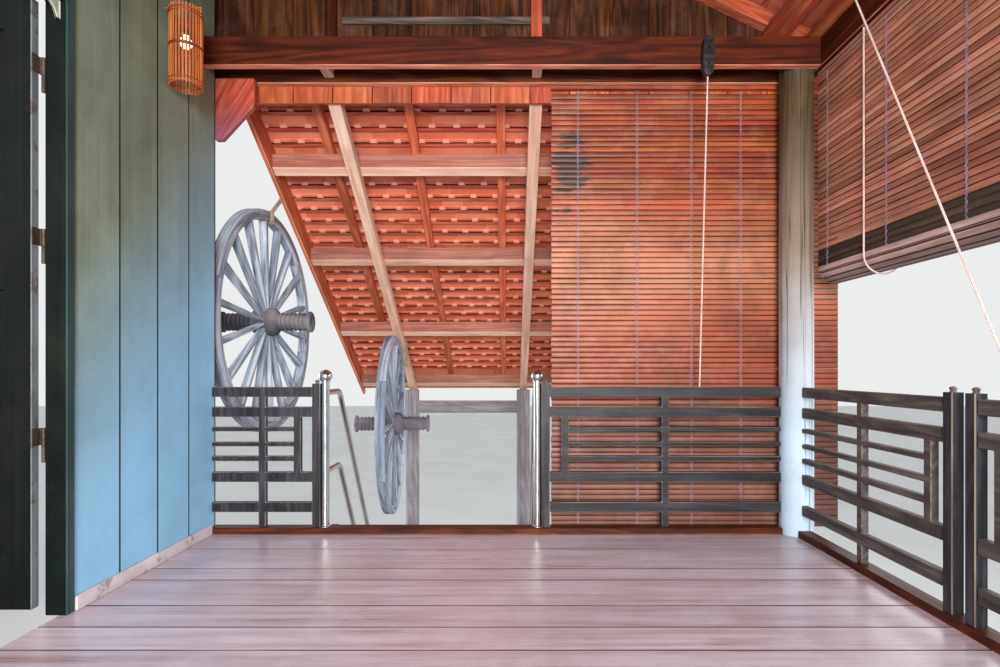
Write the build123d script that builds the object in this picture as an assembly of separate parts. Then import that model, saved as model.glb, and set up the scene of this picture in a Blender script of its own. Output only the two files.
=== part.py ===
from build123d import *
import os
from math import asin, atan2, cos, radians, sin, sqrt, tan

# Raised veranda of a timber house on stilts, with its board wall, door and roofed stair.
# X runs from the house wall to the open side, Y runs out over the stair, Z is up.
# The origin is the foot of the round post at the corner beside the stair.
# All sizes are millimetres, and heights called _up are above the floor.

# Deck and bays
floor_height = 1900
bay_length = 2550
bay_count = 2
deck_width = 3540
floor_thickness = 30
deck_edge = 95
joist_width = 60
joist_depth = 120
joist_count = 6
rim_thickness = 30
bearer_depth = 180
sill_width = 80
sill_height = 40

# Posts and the twin planks that clasp them
post_radius = 100
clasp = 160
plank_thickness = 50
beam_depth = 170
shoulder_up = 2770
block_length = 60
block_rise = 30

# House wall
wall_board = 25
wall_end = 20
wall_rail_width = 60
wall_rail_depth = 90
wall_rail_ups = [0, 2560, 3700]
skirting_height = 60
skirting_thickness = 18

# Doorway and leaf
door_far_edge = -1160
door_width = 860
door_height = 2480
frame_width = 45
frame_depth = 90
frame_proud = 10
leaf_gap = 6
leaf_thickness = 38
leaf_floor_gap = 40
leaf_stile = 110
leaf_bottom_rail = 220
leaf_lock_rail_up = 1310
leaf_rail = 130
panel_recess = 10
valance_drop = 70
valance_lobes = 6
valance_thickness = 12
valance_inset = 30
valance_scoop_drop = 12
valance_scoop_fill = 0.42
doorway_cut = 200
hinge_ups = [688, 1492, 2184]
hinge_length = 140
hinge_radius = 8
hinge_plate = 3
hinge_plate_width = 38
hinge_web = 6
hinge_edge_gap = 12
hinge_running_gap = 0.3

# Main roof, falling from the wall to the open side
roof_pitch = 25
side_plate_depth = 170
side_plate_xs = [-125, 85]
rafter_width = 60
rafter_depth = 90
rafter_count = 10
tile_depth = 55
eave_reach = 520
verge_reach = 330
barge_thickness = 28
barge_depth = 210
lookout_width = 60
lookout_depth = 50
lookout_inset = 200
ledger_depth = 150
gable_board = 20
gable_bottom_up = 2667
gable_lap = 60
gable_stud = 70
ridge_cap_width = 210
ridge_cap_thickness = 25
bracket_reach = 240
bracket_nose = 170
bracket_nose_radius = 60
bracket_drop = 378
bracket_foot = 45
bracket_thickness = 40

# Balustrade
rail_plane_thickness = 36
rail_tops_up = [885, 764, 643, 552, 467, 371, 189]
rail_heights = [60, 60, 26, 26, 30, 60, 60]
rail_upright = 44
fret_inset = 70
newel_post = 50
newel_post_top_up = 905
knob_radius = 15
knob_rise = 9
middle_post_gap = 60

# Stair
stair_centre = -2215
newel_spacing = 1286
pipe_seat = 0.3
pipe_radius = 24
rail_pipe_radius = 18
ball_radius = 40
ball_up = 951
upper_rail_up = 850
lower_rail_up = 372
rail_bend = 285
riser_count = 10
stair_pitch = 55.5
tread_thickness = 32
tread_depth = 200
stringer_thickness = 50
stringer_depth = 200
foot_newel_gap = 60
foot_newel_height = 1150

# Roof over the stair
stair_roof_pitch = 32.7
stair_roof_datum_up = 2881
stair_roof_end = 3380
stair_roof_left = 1275
stair_roof_right = 1480
principal_width = 80
principal_depth = 80
purlin_width = 75
purlin_depth = 90
first_purlin_y = 671
second_purlin_y = 1473
third_purlin_y = 2357
eave_purlin_inset = 110
common_width = 60
common_depth = 60
common_spacing = 620
common_first = 450
verge_board = 30
verge_drop = 20
stair_tile_side = 20
stair_tile_eave = 60
eave_board = 25
eave_board_depth = 130
roof_post_radius = 80
roof_post_inset = 220
tie_up = 483
tie_depth = 140
tie_thickness = 60
tie_let_in = 20

# Blinds
blind_thickness = 12
blind_gap = 3
blind_rail_depth = 30
far_blind_left = -1481
far_blind_right = 314
far_blind_bottom_up = 8
roll_radius = 95
roll_up = 1590
side_blind_margin = 50
rope_radius = 5
rope_seat = 0.3
rope_end_gap = 0.7
far_rope_x = -592
pulley_height = 230
pulley_width = 66
pulley_thickness = 50
pulley_corner = 26
pulley_drop = 20
sling_station = 500
sling_end_up = 60
pull_rope_top_y = -630
pull_rope_top_up = 60
pull_rope_foot_y = -1530

# Cart wheels hung under the roof over the stair
wheel_radius = 842
rim_depth = 75
rim_width = 76
spoke_count = 18
spoke_root = 60
spoke_root_width = 24
spoke_root_depth = 46
spoke_head_width = 34
spoke_head_depth = 62
hub_radius = 107
hub_shoulder_radius = 96
hub_half_bulge = 85
barrel_radius = 61
barrel_half_length = 350
ring_rise = 8
ring_count = 6
ring_start = 20
collar_radius = 80
collar_length = 24
near_wheel_gap = 80
near_wheel_y = 927
near_wheel_up = 1354
near_wheel_turn = 4.35
far_wheel_y = 2010
far_wheel_up = 467
far_wheel_turn = -10
far_wheel_yaw = 4
lashing_length = 60
lashing_thickness = 11
lashing_clearance = 0.3
lashing_slack = 3
far_lashing_y = 2500

# Lantern on the wall
lantern_radius = 84
lantern_height = 410
lantern_shell = 5
lantern_y = -475
lantern_up = 2465
lantern_stand_off = 20
lantern_arm = 14
bulb_drop = 150
bulb_radius = 30
bulb_sink = 24

# Worked-out places
floor_z = floor_height
deck_under = floor_z - floor_thickness
joist_under = deck_under - joist_depth
bearer_under = joist_under - bearer_depth
shoulder_z = floor_z + shoulder_up
beam_top = shoulder_z + beam_depth
half_clasp = clasp / 2
plank_out = half_clasp + plank_thickness
post_lines = [-bay_length * index for index in range(bay_count + 1)]
near_line = post_lines[-1]
wall_face = -deck_width
wall_back = wall_face - wall_board
wall_post_back = wall_back - clasp
far_edge = deck_edge
near_edge = near_line - deck_edge
roof_slope = tan(radians(roof_pitch))
roof_secant = 1 / cos(radians(roof_pitch))
inner_plate_x = side_plate_xs[0]
gable_outer = plank_out + gable_board
stair_slope = tan(radians(stair_pitch))
riser = floor_height / riser_count
going = riser / stair_slope
stair_start = plank_out + tread_depth - going
stair_foot = stair_start + floor_height / stair_slope
newel_xs = [stair_centre - newel_spacing / 2, stair_centre + newel_spacing / 2]
stair_roof_slope = tan(radians(stair_roof_pitch))
stair_roof_secant = 1 / cos(radians(stair_roof_pitch))
stair_roof_start = gable_outer
stair_roof_x0 = stair_centre - stair_roof_left
stair_roof_x1 = stair_centre + stair_roof_right
blind_plane = post_radius + blind_gap
blind_rail_under = shoulder_z - blind_rail_depth
roll_x = blind_plane + roll_radius
roll_z = floor_z + roll_up
rim_inner = wheel_radius - rim_depth


def block(x0, x1, y0, y1, z0, z1):
    """A box from its six planes."""
    centre = ((x0 + x1) / 2, (y0 + y1) / 2, (z0 + z1) / 2)
    return Pos(*centre) * Box(x1 - x0, y1 - y0, z1 - z0)


def across(points, x0, x1):
    """A (y, z) outline carried from x0 to x1."""
    face = make_face(Polyline(*[(x0, y, z) for y, z in points], close=True))
    return extrude(face, x1 - x0, dir=(1, 0, 0))


def along(points, y0, y1):
    """An (x, z) outline carried from y0 to y1."""
    face = make_face(Polyline(*[(x, y0, z) for x, z in points], close=True))
    return extrude(face, y1 - y0, dir=(0, 1, 0))


def upright(x, y, z0, z1, radius):
    """A round post from z0 to z1."""
    return Pos(x, y, (z0 + z1) / 2) * Cylinder(radius, z1 - z0)


def bar(start, end, radius):
    """A round bar between two points."""
    run = Vector(*end) - Vector(*start)
    plane = Plane(origin=start, z_dir=run)
    return extrude(plane * Circle(radius), run.length)


def joined(solids):
    """Solids fused into one piece."""
    whole = solids[0]
    for piece in solids[1:]:
        whole = whole + piece
    return whole


def without(piece, cutters):
    """A piece with each cutter taken out of it."""
    for cutter in cutters:
        piece = piece - cutter
    return piece


def write(name, pieces):
    """One STEP file for a node made of one or more solids."""
    solids = []
    for piece in pieces:
        solids += list(piece.solids())
    export_step(Compound(children=solids), f"parts/{name}.step")


def roof_under(x):
    """Height of the underside of the main rafters at x."""
    return beam_top + side_plate_depth - roof_slope * (x - inner_plate_x)


def roof_band(x0, x1, low, high):
    """The (x, z) outline of a layer of the main roof, low and high above the rafters' underside."""
    low_z = low * roof_secant
    high_z = high * roof_secant
    return [(x0, roof_under(x0) + low_z), (x1, roof_under(x1) + low_z),
            (x1, roof_under(x1) + high_z), (x0, roof_under(x0) + high_z)]


def stair_roof_at(y):
    """Height of the purlins' seat on the principal rafters of the stair roof at y."""
    return floor_z + stair_roof_datum_up - stair_roof_slope * y


def stair_roof_band(y0, y1, low, high):
    """The (y, z) outline of a layer of the stair roof, low and high above the purlins' seat."""
    low_z = low * stair_roof_secant
    high_z = high * stair_roof_secant
    return [(y0, stair_roof_at(y0) + low_z), (y1, stair_roof_at(y1) + low_z),
            (y1, stair_roof_at(y1) + high_z), (y0, stair_roof_at(y0) + high_z)]


def clasping_pair(line, x0_inner, x0_outer, x1, z0, z1, outer_side):
    """Twin planks on the two sides of a line of posts; the outer one may start further back."""
    pieces = []
    for side in (-1, 1):
        near = line + side * half_clasp
        far = line + side * plank_out
        start = x0_outer if side == outer_side else x0_inner
        pieces.append(block(start, x1, min(near, far), max(near, far), z0, z1))
    return pieces


# Deck frame
def make_bearers():
    pieces = []
    for line in post_lines:
        pieces += clasping_pair(line, wall_post_back, wall_post_back, plank_out,
                                bearer_under, joist_under, 1)
    return pieces


def make_joists():
    first = wall_face + joist_width / 2
    last = -post_radius - joist_width
    pieces = []
    for index in range(joist_count):
        x = first + (last - first) * index / (joist_count - 1)
        pieces.append(block(x - joist_width / 2, x + joist_width / 2,
                            near_edge + rim_thickness, far_edge - rim_thickness,
                            joist_under, deck_under))
    return pieces


def make_rim_boards():
    """Edge boards of the deck: across both ends, and along the open side between the posts."""
    pieces = []
    for y0, y1 in ((far_edge - rim_thickness, far_edge), (near_edge, near_edge + rim_thickness)):
        pieces.append(block(wall_face, -post_radius, y0, y1, joist_under, deck_under))
    for index in range(bay_count):
        pieces.append(block(deck_edge - rim_thickness, deck_edge,
                            post_lines[index + 1] + post_radius, post_lines[index] - post_radius,
                            joist_under, deck_under))
    return pieces


def make_floor(posts):
    """The deck notched round the posts, without the chips left outside the corner posts."""
    slab = block(wall_back, deck_edge, near_edge, far_edge, deck_under, floor_z)
    pieces = without(slab, posts).solids()
    return max(pieces, key=lambda solid: solid.volume)


def make_sills():
    """Low strips that the balustrade stands on, along both ends and the open side."""
    half = sill_width / 2
    top = floor_z + sill_height
    pieces = []
    for line in (0, near_line):
        pieces.append(block(wall_face, -post_radius, line - half, line + half, floor_z, top))
    for index in range(bay_count):
        pieces.append(block(-half, half, post_lines[index + 1] + post_radius,
                            post_lines[index] - post_radius, floor_z, top))
    return pieces


# Posts
def round_post_stock(line):
    return upright(0, line, 0, beam_top, post_radius)


def make_side_post(line, seats):
    return without(round_post_stock(line), seats)


def make_wall_posts():
    top = roof_under(wall_back)
    pieces = []
    for line in post_lines:
        outline = [(wall_post_back, 0), (wall_back, 0), (wall_back, top), (wall_post_back, top)]
        pieces.append(along(outline, line - half_clasp, line + half_clasp))
    return pieces


# Head beams
def make_cross_beams():
    """Twin planks over each line of posts, from the wall to the side beam."""
    beams = []
    for line in post_lines:
        outer_side = 1 if line == 0 else -1
        start = wall_post_back if line in (0, near_line) else wall_face
        beams.append(clasping_pair(line, wall_face, start, half_clasp,
                                   shoulder_z, beam_top, outer_side))
    return beams


def make_beam_blocks():
    """Spacer blocks between the twin planks, over the two sides of the stair."""
    pieces = []
    for line in post_lines:
        for x in newel_xs:
            pieces.append(block(x - block_length / 2, x + block_length / 2,
                                line - half_clasp, line + half_clasp,
                                shoulder_z + block_rise, beam_top))
    return pieces


def make_side_beam():
    return block(half_clasp, plank_out, near_line - plank_out, plank_out, shoulder_z, beam_top)


def make_side_plates():
    """Two planks lying along the cross beams, their tops cut to the fall of the roof."""
    pieces = []
    for centre in side_plate_xs:
        x0 = centre - plank_thickness / 2
        x1 = centre + plank_thickness / 2
        outline = [(x0, beam_top), (x1, beam_top), (x1, roof_under(x1)), (x0, roof_under(x0))]
        pieces.append(along(outline, near_line - plank_out, plank_out))
    return pieces


# House wall
def wall_panel(y0, y1, z0):
    return block(wall_back, wall_face, y0, y1, z0, roof_under(wall_back))


def make_wall_rails(doorway):
    """Horizontal rails between the wall posts, on the house side of the boards."""
    pieces = []
    for index in range(bay_count):
        y0 = post_lines[index + 1] + half_clasp
        y1 = post_lines[index] - half_clasp
        for up in wall_rail_ups:
            rail = block(wall_back - wall_rail_width, wall_back, y0, y1,
                         floor_z + up, floor_z + up + wall_rail_depth)
            pieces.append(rail - doorway)
    return pieces


door_near_edge = door_far_edge - door_width
door_head = floor_z + door_height
frame_inner = wall_face + frame_proud - frame_depth
frame_outer = wall_face + frame_proud


def make_door_frame():
    far_jamb = block(frame_inner, frame_outer, door_far_edge, door_far_edge + frame_width,
                     floor_z, door_head + frame_width)
    near_jamb = block(frame_inner, frame_outer, door_near_edge - frame_width, door_near_edge,
                      floor_z, door_head + frame_width)
    head = block(frame_inner, frame_outer, door_near_edge, door_far_edge,
                 door_head, door_head + frame_width)
    return joined([far_jamb, near_jamb, head])


def make_door_valance():
    """Thin board under the door head, its lower edge cut in round lobes."""
    lobe = door_width / valance_lobes
    face = frame_outer - valance_inset
    foot = door_head - valance_drop
    board = block(face - valance_thickness, face, door_near_edge, door_far_edge, foot, door_head)
    hole = Rot(0, 90, 0) * Cylinder(lobe * valance_scoop_fill, 4 * valance_thickness)
    cutters = []
    for index in range(valance_lobes):
        y = door_near_edge + lobe * (index + 0.5)
        cutters.append(Pos(face, y, foot - valance_scoop_drop) * hole)
    return without(board, cutters)


def make_skirting():
    """Skirting along the foot of the wall, on both sides of the doorway."""
    pieces = []
    for y0, y1 in ((door_far_edge + frame_width, -sill_width / 2),
                   (near_line + sill_width / 2, door_near_edge - frame_width)):
        pieces.append(block(wall_face, wall_face + skirting_thickness, y0, y1,
                            floor_z, floor_z + skirting_height))
    return pieces


# Door leaf, drawn open at a right angle to the wall
pin_x = frame_inner - hinge_radius
pin_y = door_far_edge - leaf_gap + hinge_edge_gap
leaf_x1 = pin_x - hinge_edge_gap
leaf_x0 = leaf_x1 - (door_width - 2 * leaf_gap)
leaf_y1 = pin_y - hinge_radius
leaf_y0 = leaf_y1 - leaf_thickness
leaf_z0 = floor_z + leaf_floor_gap
leaf_z1 = door_head - leaf_gap


def make_door_leaf():
    """Framed leaf with three recessed panels on each face."""
    leaf = block(leaf_x0, leaf_x1, leaf_y0, leaf_y1, leaf_z0, leaf_z1)
    lock_z = floor_z + leaf_lock_rail_up
    spans = [(leaf_z0 + leaf_bottom_rail, lock_z),
             (lock_z + leaf_rail, leaf_z1 - leaf_rail)]
    cutters = []
    for z0, z1 in spans:
        for y0, y1 in ((leaf_y0, leaf_y0 + panel_recess), (leaf_y1 - panel_recess, leaf_y1)):
            cutters.append(block(leaf_x0 + leaf_stile, leaf_x1 - leaf_stile, y0, y1, z0, z1))
    return without(leaf, cutters)


def make_frame_hinges():
    """Lower halves of the lift-off hinges, on the back of the jamb."""
    pieces = []
    for up in hinge_ups:
        z0 = floor_z + up - hinge_length / 2
        z1 = floor_z + up
        barrel = upright(pin_x, pin_y, z0, z1, hinge_radius)
        plate = block(frame_inner - hinge_plate, frame_inner, pin_y, pin_y + hinge_plate_width, z0, z1)
        pieces.append(barrel + plate)
    return pieces


def make_leaf_hinges():
    """Upper halves of the hinges, on the edge of the leaf."""
    pieces = []
    for up in hinge_ups:
        z0 = floor_z + up + hinge_running_gap
        z1 = floor_z + up + hinge_length / 2
        barrel = upright(pin_x, pin_y, z0, z1, hinge_radius)
        plate = block(leaf_x1, leaf_x1 + hinge_plate, leaf_y0, pin_y - hinge_web / 2, z0, z1)
        web = block(leaf_x1, pin_x, pin_y - hinge_web, pin_y, z0, z1)
        pieces.append(joined([barrel, web, plate]))
    return pieces


# Main roof
def rafter_lines():
    first = near_line - gable_outer + rafter_width
    last = gable_outer - rafter_width
    return [first + (last - first) * index / (rafter_count - 1) for index in range(rafter_count)]


def make_ledger():
    """Plank on the wall that carries the heads of the rafters."""
    x1 = wall_face + plank_thickness
    outline = [(wall_face, roof_under(wall_face) - ledger_depth), (x1, roof_under(x1) - ledger_depth),
               (x1, roof_under(x1)), (wall_face, roof_under(wall_face))]
    return along(outline, near_line - half_clasp, wall_end)


def make_rafters():
    pieces = []
    for y in rafter_lines():
        pieces.append(along(roof_band(wall_face, eave_reach, 0, rafter_depth),
                            y - rafter_width / 2, y + rafter_width / 2))
    return pieces


roof_y0 = near_line - gable_outer - verge_reach
roof_y1 = gable_outer + verge_reach


def make_roof_tiles():
    band = roof_band(wall_back, eave_reach, rafter_depth, rafter_depth + tile_depth)
    return along(band, roof_y0, roof_y1)


def make_ridge_cap():
    """Capping over the top edge of the tiles, along the head of the wall."""
    low = rafter_depth + tile_depth
    band = roof_band(wall_back, wall_back + ridge_cap_width, low, low + ridge_cap_thickness)
    return along(band, roof_y0, roof_y1)


def make_barge_boards():
    """A board under each verge, with the lookouts that carry it back to the last rafter."""
    low = rafter_depth + tile_depth - barge_depth
    ends = [(roof_y1 - barge_thickness, roof_y1, rafter_lines()[-1] + rafter_width / 2),
            (roof_y0, roof_y0 + barge_thickness, rafter_lines()[0] - rafter_width / 2)]
    half = lookout_width / 2
    pieces = []
    for y0, y1, rafter_side in ends:
        verge = along(roof_band(wall_back, eave_reach, low, rafter_depth), y0, y1)
        for x in (wall_face + lookout_inset, (wall_face + eave_reach) / 2, eave_reach - lookout_inset):
            band = roof_band(x - half, x + half, rafter_depth - lookout_depth, rafter_depth)
            verge = verge + along(band, min(rafter_side, y0), max(rafter_side, y1))
        pieces.append(verge)
    return pieces


def gable_outline():
    bottom = floor_z + gable_bottom_up
    left = wall_face - gable_lap
    right = plank_out
    return [(left, bottom), (right, bottom), (right, roof_under(right)), (left, roof_under(left))]


def make_gable_boards(y0, y1):
    return along(gable_outline(), y0, y1)


def make_gable_studs():
    """Studs on the outer plank of each end beam, up to the rafters."""
    pieces = []
    for y0, y1 in ((half_clasp, plank_out), (near_line - plank_out, near_line - half_clasp)):
        for x in newel_xs:
            x0 = x - gable_stud / 2
            x1 = x + gable_stud / 2
            outline = [(x0, beam_top), (x1, beam_top), (x1, roof_under(x1)), (x0, roof_under(x0))]
            pieces.append(along(outline, y0, y1))
    return pieces


def make_wall_bracket():
    """Board with a rounded nose at the corner of the wall, under the ends of the head beam."""
    nose = wall_face + bracket_reach
    foot = shoulder_z - bracket_drop
    outline = [(wall_face, shoulder_z), (nose, shoulder_z), (nose, shoulder_z - bracket_nose),
               (nose - bracket_nose_radius, shoulder_z - bracket_nose - bracket_nose_radius),
               (wall_face + bracket_foot, foot), (wall_face, foot)]
    board = along(outline, wall_end, wall_end + bracket_thickness)
    nose_edges = board.edges().filter_by(Axis.Y).sort_by(Axis.X)[-2:]
    lower_nose = nose_edges.sort_by(Axis.Z)[0]
    return fillet(lower_nose, bracket_nose_radius)


# Balustrade
def fret(length, place, left_end, right_end):
    """A panel of seven rails; the thin ones stop at the uprights of a fret beside each open end.

    place(s0, s1, z0, z1) gives a block that runs from s0 to s1 along the panel.
    """
    pieces = []
    left_thin = fret_inset if left_end else 0
    right_thin = length - fret_inset if right_end else length
    for index, (top, height) in enumerate(zip(rail_tops_up, rail_heights)):
        thin = index in (2, 3, 4)
        s0 = left_thin if thin else 0
        s1 = right_thin if thin else length
        pieces.append(place(s0, s1, floor_z + top - height, floor_z + top))
    low = floor_z + rail_tops_up[5] - rail_heights[5]
    high = floor_z + rail_tops_up[1]
    if left_end:
        pieces.append(place(fret_inset, fret_inset + rail_upright, low, high))
    if right_end:
        pieces.append(place(length - fret_inset - rail_upright, length - fret_inset, low, high))
    foot = floor_z + sill_height
    middle = length / 2
    pieces.append(place(middle - rail_upright / 2, middle + rail_upright / 2, foot,
                        floor_z + rail_tops_up[0]))
    return joined(pieces)


def end_panel(x0, x1, line, left_end, right_end):
    """A panel across the end of the deck, centred on a line of posts."""
    half = rail_plane_thickness / 2

    def place(s0, s1, z0, z1):
        return block(x0 + s0, x0 + s1, line - half, line + half, z0, z1)

    return fret(x1 - x0, place, left_end, right_end)


def side_panel(y0, y1, left_end, right_end):
    """A panel along the open side, centred on the posts."""
    half = rail_plane_thickness / 2

    def place(s0, s1, z0, z1):
        return block(-half, half, y0 + s0, y0 + s1, z0, z1)

    return fret(y1 - y0, place, left_end, right_end)


def newel_post_at(x, y):
    """Square post with a small turned knob."""
    half = newel_post / 2
    shaft = block(x - half, x + half, y - half, y + half, floor_z + sill_height,
                  floor_z + newel_post_top_up)
    knob = Pos(x, y, floor_z + newel_post_top_up + knob_rise) * Sphere(knob_radius)
    return shaft + knob


post_left_x = newel_xs[0] - pipe_radius - pipe_seat - newel_post / 2
post_right_x = newel_xs[1] + pipe_radius + pipe_seat + newel_post / 2


def middle_post_ys(index):
    centre = (post_lines[index] + post_lines[index + 1]) / 2
    reach = middle_post_gap / 2 + newel_post / 2
    return centre - reach, centre + reach


# Stair
def make_stringers():
    drop = stringer_depth / cos(radians(stair_pitch))
    line_z = floor_z + (stair_start - plank_out) * stair_slope
    outline = [(plank_out, line_z - drop), (plank_out, floor_z), (stair_start, floor_z),
               (stair_foot, 0), (stair_foot - drop / stair_slope, 0)]
    half = stringer_thickness / 2
    return [across(outline, x - half, x + half) for x in newel_xs]


def make_treads():
    half = stringer_thickness / 2
    pieces = []
    for step in range(1, riser_count):
        top = riser * step
        nose = stair_start + (floor_z - top) / stair_slope
        pieces.append(block(newel_xs[0] + half, newel_xs[1] - half, nose - tread_depth, nose,
                            top - tread_thickness, top))
    return pieces


def make_handrail(x):
    """Steel newel with a ball, two falling pipes and the newel at the stair's foot."""
    top_newel = upright(x, 0, floor_z + sill_height, floor_z + ball_up, pipe_radius)
    ball = Pos(x, 0, floor_z + ball_up) * Sphere(ball_radius)
    foot_y = stair_foot + foot_newel_gap
    foot_newel = upright(x, foot_y, 0, foot_newel_height, pipe_radius)
    foot_ball = Pos(x, foot_y, foot_newel_height) * Sphere(ball_radius)
    pieces = [top_newel, ball, foot_newel, foot_ball]
    for up in (upper_rail_up, lower_rail_up):
        bend = (x, rail_bend, floor_z + up)
        foot = (x, foot_y, floor_z + up - stair_slope * (foot_y - rail_bend))
        pieces.append(bar((x, 0, floor_z + up), bend, rail_pipe_radius))
        pieces.append(Pos(*bend) * Sphere(rail_pipe_radius))
        pieces.append(bar(bend, foot, rail_pipe_radius))
    return joined(pieces)


# Roof over the stair
def make_principals():
    return [across(stair_roof_band(stair_roof_start, stair_roof_end, -principal_depth, 0),
                   x - principal_width / 2, x + principal_width / 2) for x in newel_xs]


def make_purlins():
    """Planks lying flat across the principal rafters."""
    run = purlin_width * cos(radians(stair_roof_pitch))
    eave_purlin_y = stair_roof_end - eave_purlin_inset - run
    starts = [first_purlin_y, second_purlin_y, third_purlin_y, eave_purlin_y]
    pieces = []
    for y in starts:
        band = stair_roof_band(y, y + run, 0, purlin_depth)
        pieces.append(across(band, stair_roof_x0 + verge_board, stair_roof_x1 - verge_board))
    return pieces


def make_common_rafters():
    pieces = []
    x = stair_roof_x0 + common_first
    while x < stair_roof_x1 - verge_board - common_width:
        band = stair_roof_band(stair_roof_start, stair_roof_end, purlin_depth,
                               purlin_depth + common_depth)
        pieces.append(across(band, x - common_width / 2, x + common_width / 2))
        x += common_spacing
    return pieces


def make_stair_tiles():
    low = purlin_depth + common_depth
    band = stair_roof_band(stair_roof_start, stair_roof_end + stair_tile_eave, low, low + tile_depth)
    return across(band, stair_roof_x0 - stair_tile_side, stair_roof_x1 + stair_tile_side)


def make_verge_boards():
    low = -verge_drop
    high = purlin_depth + common_depth
    band = stair_roof_band(stair_roof_start, stair_roof_end, low, high)
    return [across(band, stair_roof_x0, stair_roof_x0 + verge_board),
            across(band, stair_roof_x1 - verge_board, stair_roof_x1)]


def make_eave_board():
    """Board nailed across the ends of the rafters at the eave."""
    top = stair_roof_at(stair_roof_end) + (purlin_depth + common_depth) * stair_roof_secant
    return block(stair_roof_x0, stair_roof_x1, stair_roof_end, stair_roof_end + eave_board,
                 top - eave_board_depth, top - eave_board * stair_roof_slope)


def make_roof_posts(seats):
    """Round posts under the principal rafters, at the eave end."""
    y = stair_roof_end - roof_post_inset
    reach = roof_post_radius
    cap = stair_roof_band(y - 2 * reach, y + 2 * reach, -principal_depth, 2 * reach)
    pieces = []
    for x in newel_xs:
        stock = upright(x, y, 0, stair_roof_at(y), roof_post_radius)
        cutter = across(cap, x - 2 * reach, x + 2 * reach)
        pieces.append(without(stock - cutter, seats))
    return pieces


def make_roof_tie():
    y = stair_roof_end - roof_post_inset
    let_in = roof_post_radius - tie_let_in
    return block(newel_xs[0] + let_in, newel_xs[1] - let_in, y - tie_thickness / 2,
                 y + tie_thickness / 2, floor_z + tie_up, floor_z + tie_up + tie_depth)


# Blinds
def make_far_blind():
    """Slatted blind let down outside the end balustrade, with its head rail."""
    curtain = block(far_blind_left, far_blind_right, blind_plane, blind_plane + blind_thickness,
                    floor_z + far_blind_bottom_up, blind_rail_under)
    head = block(far_blind_left, far_blind_right, blind_plane, plank_out,
                 blind_rail_under, shoulder_z)
    return joined([curtain, head])


def make_side_blind(index):
    """Blind half rolled up in one side bay, hung from the side beam."""
    y0 = post_lines[index + 1] + side_blind_margin
    y1 = post_lines[index] - side_blind_margin
    curtain = block(blind_plane, blind_plane + blind_thickness, y0, y1, roll_z, blind_rail_under)
    head = block(blind_plane, plank_out, y0, y1, blind_rail_under, shoulder_z)
    roll = Pos(roll_x, (y0 + y1) / 2, roll_z) * (Rot(90, 0, 0) * Cylinder(roll_radius, y1 - y0))
    return joined([curtain, head, roll])


def make_pulley():
    """Wooden pulley block on the face of the end beam."""
    y1 = -plank_out
    y0 = y1 - pulley_thickness
    z1 = beam_top - pulley_drop
    body = block(far_rope_x - pulley_width / 2, far_rope_x + pulley_width / 2, y0, y1,
                 z1 - pulley_height, z1)
    return fillet(body.edges().filter_by(Axis.Y), pulley_corner)


rope_foot_z = floor_z + rail_tops_up[0] + rope_end_gap
rope_foot_reach = rail_plane_thickness / 2 - rope_radius


def make_far_rope():
    """Tight pull cord from the pulley to the top rail."""
    top_z = beam_top - pulley_drop - pulley_height - rope_end_gap
    return bar((far_rope_x, -plank_out - pulley_thickness / 2, top_z),
               (far_rope_x, -rope_foot_reach, rope_foot_z), rope_radius)


def make_pull_rope():
    """Tight pull cord of the far side blind, from the side plate to the top rail."""
    top_x = inner_plate_x + plank_thickness / 2 + rope_radius + rope_end_gap
    return bar((top_x, pull_rope_top_y, beam_top + pull_rope_top_up),
               (-rope_foot_reach, pull_rope_foot_y, rope_foot_z + rope_radius), rope_radius)


def make_sling_ropes():
    """Ropes from the side beam that pass under the roll of each side blind and back up."""
    reach = roll_radius + rope_seat + rope_radius
    inner_x = roll_x - reach
    end_x = plank_out + rope_radius + rope_end_gap
    end_z = shoulder_z + sling_end_up
    run = roll_x - end_x
    rise = end_z - roll_z
    turn = asin(reach / sqrt(run ** 2 + rise ** 2)) + atan2(run, rise)
    pieces = []
    for index in range(bay_count):
        for y in (post_lines[index] - sling_station, post_lines[index + 1] + sling_station):
            start = (inner_x, y, shoulder_z)
            down = (inner_x, y, roll_z)
            under = (roll_x, y, roll_z - reach)
            leave = (roll_x + reach * cos(turn), y, roll_z + reach * sin(turn))
            path = Line(start, down) + ThreePointArc(down, under, leave) + Line(leave, (end_x, y, end_z))
            pieces.append(sweep(Plane(origin=start, z_dir=(0, 0, -1)) * Circle(rope_radius), path))
    return pieces


# Cart wheels
def hub_outline():
    """Half section of the hub: a round middle and a ringed barrel that ends in a collar."""
    shoulder_x = hub_half_bulge + ring_start
    collar_x = barrel_half_length - collar_length
    pitch = (collar_x - shoulder_x - ring_start) / ring_count
    points = [(0, hub_radius), (hub_half_bulge, hub_shoulder_radius), (shoulder_x, barrel_radius)]
    for index in range(ring_count):
        start = shoulder_x + ring_start / 2 + pitch * index
        points += [(start, barrel_radius), (start, barrel_radius + ring_rise),
                   (start + pitch / 2, barrel_radius + ring_rise), (start + pitch / 2, barrel_radius)]
    points += [(collar_x, barrel_radius), (collar_x, collar_radius),
               (barrel_half_length, collar_radius), (barrel_half_length, 0)]
    return points


def make_hub():
    """Turned hub on the X axis."""
    half = hub_outline()
    right = [(px, 0, pr) for px, pr in half]
    left = [(-px, 0, pr) for px, pr in reversed(half[1:])]
    return revolve(make_face(Polyline(*right, *left, close=True)), Axis.X)


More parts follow.
